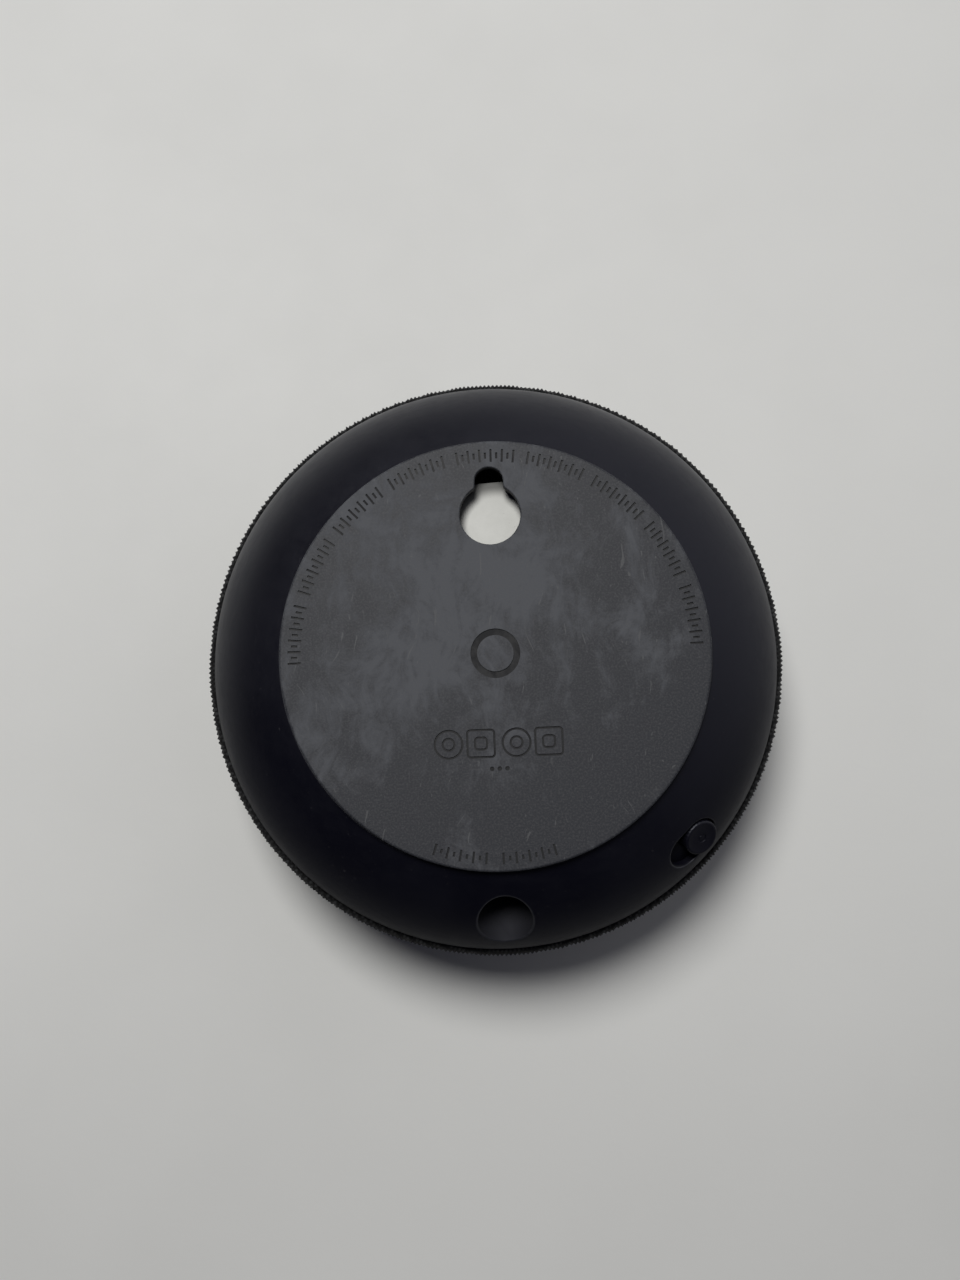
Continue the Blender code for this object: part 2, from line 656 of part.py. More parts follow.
def make_wires(parts):
    for number, (y, finish) in enumerate(((6.2, RED_WIRE), (7.8, BLACK_WIRE)), 1):
        x = WIRE_HOLE[0]
        path = [(x, y, 11.1), (x, y, 21.0), (x + 0.7, y - 0.2, 23.4), (x + 2.1, y - 0.6, 24.6)]
        paint(wire(f"speaker_wire_{number}", path, 0.5, parts), *finish)


# ---------------------------------------------------------------- touch board and microphones

def make_touch_board(parts, cutters):
    """Ring board with a bar across the middle that carries the lights."""
    board = paint(disc("touch_board", TOUCH_R, *TOUCH_Z, parts, 32), *GREEN_BOARD)
    lean = math.degrees(math.asin(BAR_HALF / TOUCH_WINDOW_R))
    for side, start in (("back", lean), ("front", 180 + lean)):
        outline = arc((0, 0), TOUCH_WINDOW_R, start, start + 180 - 2 * lean, 15)
        window = prism(f"touch_window_{side}", outline, 33, 37, cutters)
        boolean(board, as_cutter(window), "DIFFERENCE")
    ports = cylinders("mic_port_cut", 0.5, 33, 37, [polar(MIC_R, az) for az in MIC_AZ], cutters, 8)
    boolean(board, as_cutter(ports), "DIFFERENCE")

    for number, azimuth in enumerate(MIC_AZ, 1):
        spot = Matrix.Rotation(math.radians(azimuth), 4, "Z") @ Matrix.Translation((MIC_R * MM, 0, 0))
        mic = box(f"microphone_{number}", (2.7, 3.5, 1.0), (0, 0, TOUCH_Z[0] - 0.65), parts, spot)
        paint(mic, *STEEL)
        seal = ring(f"mic_gasket_{number}", 0.8, 1.9, TOUCH_Z[1] + 0.15, 35.95, parts, 12, spot)
        paint(seal, *RUBBER)
    for number, x in enumerate(LED_X, 1):
        lamp = box(f"led_{number}", (2.0, 2.0, 0.6), (x, 0, TOUCH_Z[1] + 0.45), parts)
        paint(lamp, *WHITE_LENS)
    guide = box("light_guide", (23.0, 4.0, 1.6), (0, 0, 37.3), parts, edge=0.4)
    paint(guide, *WHITE_LENS)


def make_antennas(parts):
    for number, azimuth in enumerate((0.0, 180.0), 1):
        path = arc((0, 0), 43.7, azimuth - 20, azimuth + 20, 9)
        lift = Matrix.Translation((0, 0, 22.0 * MM))
        paint(ribbon(f"antenna_{number}", path, 6.0, 0.3, parts, lift), *COPPER)


# ---------------------------------------------------------------- top housing and fabric

def grille_spots():
    """Rings of holes over the driver, leaving the light bar's strip solid."""
    spots = []
    for radius, count in ((9.0, 8), (15.5, 14)):
        for i in range(count):
            x, y = polar(radius, 360.0 * (i + 0.5) / count)
            if abs(y) > BAR_HALF:
                spots.append((x, y))
    return spots


def make_top_housing(parts, cutters):
    outer_inset = FABRIC_T + SKIN_GAP
    inner_inset = outer_inset + HOUSING_T
    low = EQUATOR_Z
    outside = skin(outer_inset, low)
    inside = skin(inner_inset, low)
    profile = outside + inside[::-1]
    housing = paint(turned("top_housing", profile, parts, BIG_STEPS), *BLACK_PLASTIC)

    limit = skin(outer_inset + 0.5, low)
    limit_solid = as_cutter(turned("dome_limit", limit + [(0.0, low)], cutters, BIG_STEPS))
    pillar_spots = [polar(BASE_SCREW_R, az) for az in BASE_SCREW_AZ]
    boss_spots = [polar(CHASSIS_SCREW_R, az) for az in CHASSIS_SCREW_AZ]
    supports = (("long_pillars", PILLAR_R, 13.6, 39, pillar_spots),
                ("chassis_bosses", 2.5, 28.7, 39, boss_spots))
    for name, radius, start, stop, spots in supports:
        posts = as_cutter(cylinders(name, radius, start, stop, spots, cutters, 14))
        boolean(posts, limit_solid, "INTERSECT")
        boolean(housing, posts, "UNION")
    stubs = cylinders("pillar_stubs", PILLAR_R - 0.3, 9.3, low + 1.0, pillar_spots, cutters, 14)
    boolean(housing, as_cutter(stubs), "UNION")
    cuts = (("pillar_holes", SCREW_HOLE_R, 8, 18, pillar_spots, 12),
            ("boss_screw_holes", SCREW_HOLE_R, 27, 33.4, boss_spots, 12),
            ("grille_holes", 1.8, 34, 44, grille_spots(), 6),
            ("light_windows", 0.9, 36, 44, [(x, 0.0) for x in LED_X], 8),
            ("mic_windows", 0.6, 34, 44, [polar(MIC_R, az) for az in MIC_AZ], 8))
    for name, radius, start, stop, spots, steps in cuts:
        holes = cylinders(name, radius, start, stop, spots, cutters, steps)
        boolean(housing, as_cutter(holes), "DIFFERENCE")


def make_fabric(parts):
    """Knitted cover: dome, side and the hem folded in above the base shell."""
    low, hem_top = HEM_Z
    outside = skin(0.0, low + HEM_ROUND)
    fold = outside[-1][0] - HEM_ROUND, low
    inside = skin(FABRIC_T, hem_top)
    profile = outside + [fold, (HEM_IN, low), (HEM_IN, hem_top)] + inside[::-1]
    paint(turned("fabric_cover", profile, parts, BIG_STEPS), *CHARCOAL_KNIT)
    paint(ring("rim_gasket", *GASKET_R, SPLIT_Z + 0.1, hem_top, parts, BIG_STEPS), *RUBBER)


def main():
    clear_scene()
    parts = new_collection("puck_speaker")
    cutters = new_collection("cutters")
    port = wall_frame(PORT_AZ, PORT_Z, PORT_DIP)
    slot = wall_frame(SLIDER_AZ, SLIDER_Z, SLIDER_DIP)
    make_foot(parts, cutters)
    make_base_shell(parts, cutters, port, slot)
    make_wall_mount(parts, cutters)
    make_screws(parts)
    make_slider(parts, cutters, slot)
    make_switch(parts, cutters, slot)
    make_power_jack(parts, cutters, port)
    make_main_board(parts, cutters)
    make_chamber(parts, cutters)
    make_motor(parts)
    make_basket(parts, cutters)
    make_suspension(parts)
    make_cone(parts)
    make_wires(parts)
    make_touch_board(parts, cutters)
    make_antennas(parts)
    make_top_housing(parts, cutters)
    make_fabric(parts)


main()
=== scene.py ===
"""Looks of the puck speaker: rubber foot, satin base shell, switch knob, knitted dome and driver.

The part stands on its foot in its own frame, and the main camera looks up at that foot: the
speaker lies upside down with its crown on a pale table. Seen from above, the table gives way to a
floor under the foot. Sizes are in millimetres and MM turns them into metres.
"""

import json
import math

import bmesh
import bpy
import numpy as np
from mathutils import Matrix, Vector


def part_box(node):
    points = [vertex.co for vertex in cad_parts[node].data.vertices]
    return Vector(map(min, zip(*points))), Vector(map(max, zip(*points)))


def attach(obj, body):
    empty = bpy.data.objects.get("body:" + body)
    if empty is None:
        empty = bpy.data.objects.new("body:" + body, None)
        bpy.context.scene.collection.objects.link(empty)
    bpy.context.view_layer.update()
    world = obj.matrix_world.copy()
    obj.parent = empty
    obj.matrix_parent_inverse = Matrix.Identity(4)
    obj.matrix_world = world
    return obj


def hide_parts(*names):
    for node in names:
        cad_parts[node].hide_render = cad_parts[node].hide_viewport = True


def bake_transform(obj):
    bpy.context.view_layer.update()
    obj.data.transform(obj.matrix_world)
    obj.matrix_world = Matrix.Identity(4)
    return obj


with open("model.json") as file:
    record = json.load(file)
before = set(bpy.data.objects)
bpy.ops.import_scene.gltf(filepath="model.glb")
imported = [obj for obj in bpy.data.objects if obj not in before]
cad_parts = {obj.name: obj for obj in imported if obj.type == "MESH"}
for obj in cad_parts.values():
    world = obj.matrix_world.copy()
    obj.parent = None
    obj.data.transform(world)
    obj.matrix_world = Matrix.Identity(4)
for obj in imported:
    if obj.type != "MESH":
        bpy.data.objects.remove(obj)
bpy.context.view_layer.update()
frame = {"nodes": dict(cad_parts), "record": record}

MM = 0.001


def lowest(node, axis):
    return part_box(node)[0]["xyz".index(axis)] / MM


def highest(node, axis):
    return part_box(node)[1]["xyz".index(axis)] / MM


# Outer form, read from the frame
BODY_R = highest("fabric_cover", "x")
BODY_H = highest("fabric_cover", "z")
FOOT_R = highest("foot_pad", "x")
FOOT_TOP = highest("foot_pad", "z")
FLOOR_LOW = lowest("base_shell", "z")
TONGUE_TOP = highest("base_shell", "z")
HEM_Z = lowest("fabric_cover", "z")

# The body's curves, as in the CAD
EQUATOR_Z = 17.0
SHELL_R, SHELL_DROP = 48.2, 22.07  # the base shell's ellipse lies inside the cover's
DOME_POWER = 2.25
SPLIT_Z = 16.0
SHELL_T = 1.8
FLOOR_T = 1.4
TONGUE_IN, TONGUE_OUT = 43.4, 44.8
ENGRAVED = 0.2
HEM_IN = 45.9
WALL_STEPS = 240

# Openings in the base
KEY_Y, KEY_R = -22.3, 4.9
KEY_SLOT_Y, KEY_SLOT_R = -27.75, 2.3
KEY_FILLET = 0.9
PORT = (90.0, 7.1, 16.0)  # azimuth, height and dip of the power port
PORT_R, PORT_TUBE_R, JACK_FACE = 4.4, 5.6, -6.9
SLIDER = (45.5, 8.3, 52.0)
SLIDER_TRAVEL, SLOT_R = 3.0, 3.3
ROOM_HALF, ROOM_R, ROOM_LOW, ROOM_TOP = 8.6, 3.8, -6.0, -2.35  # space for the knob's carrier
KEY_CLEARANCE = 0.25  # the shell's keyhole is wider than the foot's

# Screw posts
POST_R, POST_TOP = 3.3, 9.0
POST_HOLE_R, HEAD_HOLE_R, HEAD_HOLE_TOP = 1.25, 2.4, 3.45
POST_RING_R, POST_AZ = 31.4, (20.0, 160.0, 225.0, 315.0)

# Knob and its hidden carrier
KNOB_R, KNOB_TOP = 3.05, 0.45
CARRIER_LOW, CARRIER_TOP = -3.4, -2.8
CARRIER_HALF, CARRIER_R = 6.8, 3.6
FORK_X, FORK_Y, FORK_REACH = 1.0, 0.8, 1.2

# Knit
STITCH = 0.9  # width of a stitch
COURSE = 1.0  # height of a stitch
RELIEF = 0.36  # from the top of a stitch to the bottom of the groove beside it
PROUD = 1.2  # how far a stitch's top stands outside the smooth outline, in reliefs

# Driver suspension
SURROUND_Z, SURROUND_T = 30.4, 0.18
ROLL_MIDDLE_R, ROLL_R = 17.1, 1.5
RIM_OUT, CONE_LAP_R = 20.7, 14.9
SPIDER_Z, SPIDER_RISE, SPIDER_T = 24.25, 0.8, 0.24
SPIDER_IN, SPIDER_OUT, SPIDER_RIM = 6.75, 13.3, 14.2
SPIDER_WAVES, WAVE_HEIGHT = 4, 0.28

# Stage
BACKDROP = (0.72, 0.725, 0.73)
TABLE_GAP = 0.03
FROM_BELOW, FROM_ABOVE = "height < 0", "height >= 0"  # rules on the camera's height


# ---------------------------------------------------------------- mesh helpers

def link(name, mesh, matrix=None):
    ob = bpy.data.objects.new(name, mesh)
    bpy.context.scene.collection.objects.link(ob)
    if matrix is not None:
        ob.matrix_world = matrix
    return ob


def tidy(mesh, crease=38.0):
    """Welds doubles, turns the faces outwards and shades smooth up to the crease angle."""
    bm = bmesh.new()
    bm.from_mesh(mesh)
    bmesh.ops.remove_doubles(bm, verts=bm.verts, dist=0.000001)
    bmesh.ops.recalc_face_normals(bm, faces=bm.faces)
    bm.to_mesh(mesh)
    bm.free()
    mesh.shade_smooth()
    mesh.set_sharp_from_angle(angle=math.radians(crease))


def loft(name, rings, capped=True, matrix=None, crease=38.0):
    """A surface through rings of equally many points, each ring closed on itself."""
    count = len(rings[0])
    points = [(x * MM, y * MM, z * MM) for ring in rings for x, y, z in ring]
    faces = []
    for start in range(0, count * (len(rings) - 1), count):
        for i in range(count):
            j = (i + 1) % count
            faces.append((start + i, start + j, start + count + j, start + count + i))
    if capped:
        last = len(points) - count
        faces += [tuple(range(count))[::-1], tuple(range(last, last + count))]
    mesh = bpy.data.meshes.new(name)
    mesh.from_pydata(points, [], faces)
    tidy(mesh, crease)
    return link(name, mesh, matrix)


def turned(name, profile, steps=96, matrix=None, crease=38.0):
    """Turns (radius, height) points round Z. A profile ends on the axis or on its first point."""
    angles = [math.tau * i / steps for i in range(steps)]
    rings = [[(r * math.cos(a), r * math.sin(a), z) for a in angles] for r, z in profile]
    return loft(name, rings, False, matrix, crease)


def rounded(points, radius, steps=3, closed=False):
    """The polyline with its inner corners rounded; a corner keeps within its neighbours' reach."""
    count = len(points)
    corners = range(count) if closed else range(1, count - 1)
    out = [] if closed else [points[0]]
    for k in corners:
        before, at, after = (Vector(points[(k + d) % count]) for d in (-1, 0, 1))
        reach_in = min(radius, (before - at).length * 0.45)
        reach_out = min(radius, (after - at).length * 0.45)
        a = at + (before - at).normalized() * reach_in
        b = at + (after - at).normalized() * reach_out
        for i in range(steps + 1):
            t = i / steps
            out.append(tuple(a * (1 - t) ** 2 + at * (2 * t * (1 - t)) + b * t ** 2))
    return out + ([out[0]] if closed else [points[-1]])


def settle(ob):
    """Makes the modified mesh the object's own."""
    bpy.context.view_layer.update()
    graph = bpy.context.evaluated_depsgraph_get()
    mesh = bpy.data.meshes.new_from_object(ob.evaluated_get(graph))
    ob.modifiers.clear()
    ob.data = mesh
    return ob


def combine(ob, other, operation):
    """A boolean with another solid, which is used up."""
    mod = ob.modifiers.new(operation, "BOOLEAN")
    mod.operation = operation
    mod.solver = "EXACT"
    mod.object = other
    settle(ob)
    bpy.data.objects.remove(other, do_unlink=True)
    return ob


def weighted(ob):
    """Keeps the large faces' shading even where small rounded edges meet them."""
    mod = ob.modifiers.new("Even shading", "WEIGHTED_NORMAL")
    mod.keep_sharp = True
    mod.weight = 80
    return ob


def arc(centre, radius, start, stop, count):
    angles = [math.radians(start + (stop - start) * i / (count - 1)) for i in range(count)]
    return [(centre[0] + radius * math.cos(a), centre[1] + radius * math.sin(a)) for a in angles]


def stadium(half, radius, count=24):
    reach = half - radius
    return arc((reach, 0), radius, -90, 90, count) + arc((-reach, 0), radius, 90, 270, count)


def keyhole(grow=0.0):
    """The wall-hanging opening: a round entry and a narrow slot, with filleted shoulders."""
    circle, slot, fillet = KEY_R + grow, KEY_SLOT_R + grow, KEY_FILLET - grow
    across = slot + fillet
    drop = math.sqrt((circle + fillet) ** 2 - across ** 2)
    lean = math.degrees(math.atan2(across, drop))
    entry = arc((0, KEY_Y), circle, lean - 90, 270 - lean, 72)
    left = arc((-across, KEY_Y - drop), fillet, 90 - lean, 0, 10)
    right = arc((across, KEY_Y - drop), fillet, 180, 90 + lean, 10)
    return entry + left[1:] + arc((0, KEY_SLOT_Y), slot, 180, 360, 36) + right[:-1]


def prism(name, outline, low, high, matrix=None):
    return loft(name, [[(x, y, z) for x, y in outline] for z in (low, high)], True, matrix)


def polar(radius, azimuth):
    return radius * math.cos(math.radians(azimuth)), radius * math.sin(math.radians(azimuth))


# ---------------------------------------------------------------- the body's surface

def wall_radius(z, inset=0.0):
    """Radius of the base shell's wall at height z, inset along both axes of its ellipse."""
    return (SHELL_R - inset) * math.sqrt(1.0 - ((EQUATOR_Z - z) / (SHELL_DROP - inset)) ** 2)


def dome_point(angle):
    """Point of the upper dome's outline, angle 90 at the crown."""
    side = max(math.cos(math.radians(angle)), 0.0)
    up = max(math.sin(math.radians(angle)), 0.0)
    rise = BODY_H - EQUATOR_Z
    return BODY_R * side ** (2 / DOME_POWER), EQUATOR_Z + rise * up ** (2 / DOME_POWER)


def wall_frame(azimuth, z, dip):
    """Frame on the lower wall: X round the body, Z outwards and dipping, Y up along the wall."""
    turn, lean = math.radians(azimuth), math.radians(dip)
    radial = Vector((math.cos(turn), math.sin(turn), 0.0))
    round_axis = Vector((-math.sin(turn), math.cos(turn), 0.0))
    out = radial * math.cos(lean) - Vector((0, 0, 1)) * math.sin(lean)
    placed = Matrix((round_axis, out.cross(round_axis), out)).transposed().to_4x4()
    placed.translation = (radial * wall_radius(z) + Vector((0, 0, z))) * MM
    return placed


def wall_height(matrix, x, y):
    """How far along the frame's Z axis the point (x, y) meets the lower wall's ellipsoid."""
    start = matrix @ (Vector((x, y, 0.0)) * MM) / MM - Vector((0, 0, EQUATOR_Z))
    along = matrix.to_3x3().col[2]
    scale = Vector((1 / SHELL_R, 1 / SHELL_R, 1 / SHELL_DROP))
    p = Vector([a * b for a, b in zip(start, scale)])
    d = Vector([a * b for a, b in zip(along, scale)])
    half, rest = p.dot(d) / d.dot(d), (p.dot(p) - 1) / d.dot(d)
    return -half + math.sqrt(half * half - rest)


def flared_cutter(name, outline, matrix, deep, fillet):
    """A cutter for an opening in the wall whose mouth rounds over evenly into the wall."""
    count = len(outline)
    outward = []
    for i in range(count):
        run = Vector(outline[(i + 1) % count]) - Vector(outline[i - 1])
        outward.append(Vector((run.y, -run.x)).normalized())

    def ring(step, rise, level=None):
        points = []
        for (x, y), way in zip(outline, outward):
            px, py = x + way.x * step, y + way.y * step
            z = wall_height(matrix, px, py) + rise if level is None else level
            points.append((px, py, z))
        return points

    rings = [ring(0.0, 0.0, deep)]
    for angle in (0, 15, 30, 45, 60, 75):
        turn = math.radians(angle)
        rings.append(ring(fillet * (1 - math.cos(turn)), -fillet * (1 - math.sin(turn))))
    rings.append(ring(fillet * 0.74 + 0.8, 0.8 * 0.27))
    rings.append(ring(fillet * 0.74 + 0.8, 0.0, 8.0))
    return loft(name, rings, True, matrix)


# ---------------------------------------------------------------- materials

class Finish:
    """A procedural material, built node by node. Lengths are in metres in object space."""

    def __init__(self, name, **values):
        self.mat = bpy.data.materials.new(name)
        self.mat.use_nodes = True
        self.tree = self.mat.node_tree
        self.shader = self.tree.nodes["Principled BSDF"]
        self.place = self.node("ShaderNodeTexCoord").outputs["Object"]
        for key, value in values.items():
            self.set(key.replace("_", " ").title().replace("Ior", "IOR"), value)

    def node(self, kind, **settings):
        made = self.tree.nodes.new(kind)
        for key, value in settings.items():
            setattr(made, key, value)
        return made

    def feed(self, socket, value):
        if isinstance(value, bpy.types.NodeSocket):
            self.tree.links.new(value, socket)
        elif isinstance(value, tuple) and len(value) == 3 and socket.type == "RGBA":
            socket.default_value = (*value, 1.0)
        else:
            socket.default_value = value

    def set(self, name, value):
        self.feed(self.shader.inputs[name], value)

    def math(self, operation, *values, clamp=False):
        made = self.node("ShaderNodeMath", operation=operation, use_clamp=clamp)
        for socket, value in zip(made.inputs, values):
            self.feed(socket, value)
        return made.outputs[0]

    def moved(self, stretch=(1, 1, 1), turn=(0, 0, 0), at=(0, 0, 0), vector=None):
        made = self.node("ShaderNodeMapping")
        self.feed(made.inputs["Vector"], vector or self.place)
        made.inputs["Scale"].default_value = stretch
        made.inputs["Rotation"].default_value = [math.radians(a) for a in turn]
        made.inputs["Location"].default_value = at
        return made.outputs[0]

    def axes(self, vector=None):
        split = self.node("ShaderNodeSeparateXYZ")
        self.feed(split.inputs[0], vector or self.place)
        return split.outputs

    def placed(self, matrix):
        """Coordinates in another frame, in millimetres."""
        made = self.node("ShaderNodeMapping", vector_type="TEXTURE")
        self.feed(made.inputs["Vector"], self.place)
        made.inputs["Location"].default_value = matrix.translation
        made.inputs["Rotation"].default_value = matrix.to_euler()
        made.inputs["Scale"].default_value = (MM, MM, MM)
        return self.axes(made.outputs[0])

    def warped(self, size, reach):
        """Coordinates pushed about by up to reach millimetres, which makes straight marks curl."""
        made = self.node("ShaderNodeTexNoise")
        self.feed(made.inputs["Vector"], self.place)
        made.inputs["Scale"].default_value = 1 / (size * MM)
        made.inputs["Detail"].default_value = 1.0
        push = self.node("ShaderNodeVectorMath", operation="MULTIPLY_ADD")
        self.feed(push.inputs[0], made.outputs["Color"])
        push.inputs[1].default_value = [reach * MM] * 3
        self.feed(push.inputs[2], self.place)
        return push.outputs[0]

    def noise(self, size, detail=3.0, rough=0.55, bend=0.0, vector=None):
        """Noise whose features are about size millimetres across."""
        made = self.node("ShaderNodeTexNoise")
        self.feed(made.inputs["Vector"], vector or self.place)
        made.inputs["Scale"].default_value = 1 / (size * MM)
        made.inputs["Detail"].default_value = detail
        made.inputs["Roughness"].default_value = rough
        made.inputs["Distortion"].default_value = bend
        return made.outputs[0]

    def ramp(self, value, low, high, to=(0.0, 1.0), smooth=True):
        made = self.node("ShaderNodeMapRange")
        made.interpolation_type = "SMOOTHSTEP" if smooth else "LINEAR"
        for socket, number in zip(made.inputs, (value, low, high, *to)):
            self.feed(socket, number)
        return made.outputs[0]

    def length(self, x, y):
        square = self.math("ADD", self.math("MULTIPLY", x, x), self.math("MULTIPLY", y, y))
        return self.math("SQRT", square)

    def mix(self, share, a, b):
        made = self.node("ShaderNodeMix", data_type="RGBA")
        self.feed(made.inputs[0], share)
        self.feed(made.inputs[6], a)
        self.feed(made.inputs[7], b)
        return made.outputs[2]

    def bump(self, height, depth, strength=1.0, under=None):
        """Raises the surface by depth millimetres where height is 1."""
        made = self.node("ShaderNodeBump")
        made.inputs["Distance"].default_value = depth * MM
        made.inputs["Strength"].default_value = strength
        self.feed(made.inputs["Height"], height)
        if under is not None:
            self.feed(made.inputs["Normal"], under)
        return made.outputs[0]


def moulded(name, dark, light, rough, grain=0.25, depth=0.008, **values):
    """Moulded plastic or rubber: cloudy colour and a fine matte grain."""
    f = Finish(name, **values)
    clouds = f.noise(7.0, 4.0)
    fine = f.noise(grain, 2.0)
    f.set("Base Color", f.mix(f.ramp(clouds, 0.3, 0.7), dark, light))
    f.set("Roughness", f.ramp(clouds, 0.2, 0.8, (rough - 0.06, rough + 0.06)))
    f.set("Normal", f.bump(fine, depth))
    return f


def metal(name, dark, light, rough, stretch=(1, 1, 12), size=0.3, depth=0.004):
    """Bare or plated metal: rolling marks, faint stains and an uneven polish."""
    f = Finish(name, metallic=1.0)
    marks = f.noise(size, 3.0, vector=f.moved(stretch))
    stains = f.noise(5.0, 4.0)
    share = f.math("MULTIPLY_ADD", marks, 0.5, f.math("MULTIPLY", stains, 0.5))
    f.set("Base Color", f.mix(f.ramp(share, 0.35, 0.65), dark, light))
    f.set("Roughness", f.ramp(share, 0.3, 0.7, (rough + 0.1, rough - 0.05)))
    f.set("Normal", f.bump(marks, depth))
    return f


def woven(name, dark, light, rough, pitch, depth):
    """Plain weave of two crossed thread sets, for cloth and paper-like pulp."""
    f = Finish(name)
    waves = [f.math("SINE", f.math("MULTIPLY", v, math.tau / (pitch * MM))) for v in f.axes()[:2]]
    weave = f.math("MULTIPLY_ADD", f.math("MULTIPLY", *waves), 0.5, 0.5)
    fibres = f.noise(pitch * 0.6, 3.0)
    share = f.math("MULTIPLY_ADD", weave, 0.5, f.math("MULTIPLY", fibres, 0.5))
    f.set("Base Color", f.mix(f.ramp(share, 0.2, 0.8), dark, light))
    f.set("Roughness", f.ramp(fibres, 0.2, 0.8, (rough - 0.08, rough)))
    f.set("Normal", f.bump(share, depth))
    return f


def away(f, x, y, at_x=0.0, at_y=0.0):
    """Distance in millimetres from the upright line through (at_x, at_y)."""
    x, y = f.math("SUBTRACT", x, at_x * MM), f.math("SUBTRACT", y, at_y * MM)
    return f.math("DIVIDE", f.length(x, y), MM)


def key_shaft(f, x, y):
    """1 within the keyhole and just round it, 0 elsewhere."""
    entry = f.ramp(away(f, x, y, 0.0, KEY_Y), KEY_R + 1.4, KEY_R + 0.7)
    slot = f.ramp(away(f, x, y, 0.0, KEY_SLOT_Y), KEY_SLOT_R + 1.1, KEY_SLOT_R + 0.7)
    return f.math("MAXIMUM", entry, slot)


def shell_finish():
    """Satin black moulding: fine grain, faint handling marks, dust, dull bore, painted rim
    highlights.
    """
    f = Finish("satin_shell", specular_tint=(0.86, 0.88, 1.0, 1.0))
    x, y, _ = f.axes()
    f.set("Specular IOR Level", f.ramp(key_shaft(f, x, y), 0.0, 1.0, (0.5, 0.03)))
    haze = f.noise(14.0, 5.0, 0.6, 0.4)
    rub = f.noise(2.6, 4.0, 0.6, 0.8, f.moved((1, 1, 3)))
    dust = f.ramp(f.noise(0.55, 1.0, 0.3), 0.76, 0.80)
    body = f.mix(f.ramp(haze, 0.3, 0.75), (0.0016, 0.0016, 0.0050), (0.0030, 0.0030, 0.0070))
    body = f.mix(f.math("MULTIPLY", dust, 0.3), body, (0.05, 0.05, 0.055))

    x, y, z = f.placed(wall_frame(*PORT))
    off_axis = f.length(x, y)
    outer_side = f.ramp(z, -9.0, -8.0)
    bore = f.math("MULTIPLY", f.ramp(off_axis, PORT_R + 0.05, PORT_R - 0.02), outer_side)
    port_edge = f.ramp(f.math("ABSOLUTE", f.math("SUBTRACT", off_axis, PORT_R + 0.17)), 0.24, 0.1)
    port_edge = f.math("MULTIPLY", port_edge, outer_side)
    x, y, z = f.placed(wall_frame(*SLIDER))
    past = f.math("MAXIMUM", f.math("SUBTRACT", f.math("ABSOLUTE", x), SLIDER_TRAVEL / 2), 0.0)
    off_slot = f.length(past, y)
    slot_edge = f.ramp(f.math("ABSOLUTE", f.math("SUBTRACT", off_slot, SLOT_R + 0.13)), 0.2, 0.08)
    slot_edge = f.math("MULTIPLY", slot_edge, f.ramp(z, -1.5, -0.8))
    edges = f.math("MAXIMUM", port_edge, slot_edge)
    # Painted highlight: the rounded rims of the port and the slot are made lighter, broken up by
    # the handling marks.
    painted_edge_highlight = f.math("MULTIPLY", edges, f.ramp(rub, 0.2, 0.6, (0.5, 1.0)))
    body = f.mix(f.math("MULTIPLY", painted_edge_highlight, 0.8), body, (0.030, 0.031, 0.036))
    f.set("Base Color", f.mix(bore, body, (0.0066, 0.0066, 0.0088)))

    rough = f.ramp(haze, 0.3, 0.7, (0.40, 0.45))
    rough = f.math("ADD", rough, f.ramp(rub, 0.35, 0.7, (0.0, 0.05)))
    rough = f.math("ADD", rough, f.math("MULTIPLY", dust, 0.2))
    f.set("Roughness", f.math("ADD", rough, f.math("MULTIPLY", bore, 0.45)))
    f.set("Normal", f.bump(f.noise(0.16, 2.0, 0.5), 0.006, 0.8))
    return f.mat


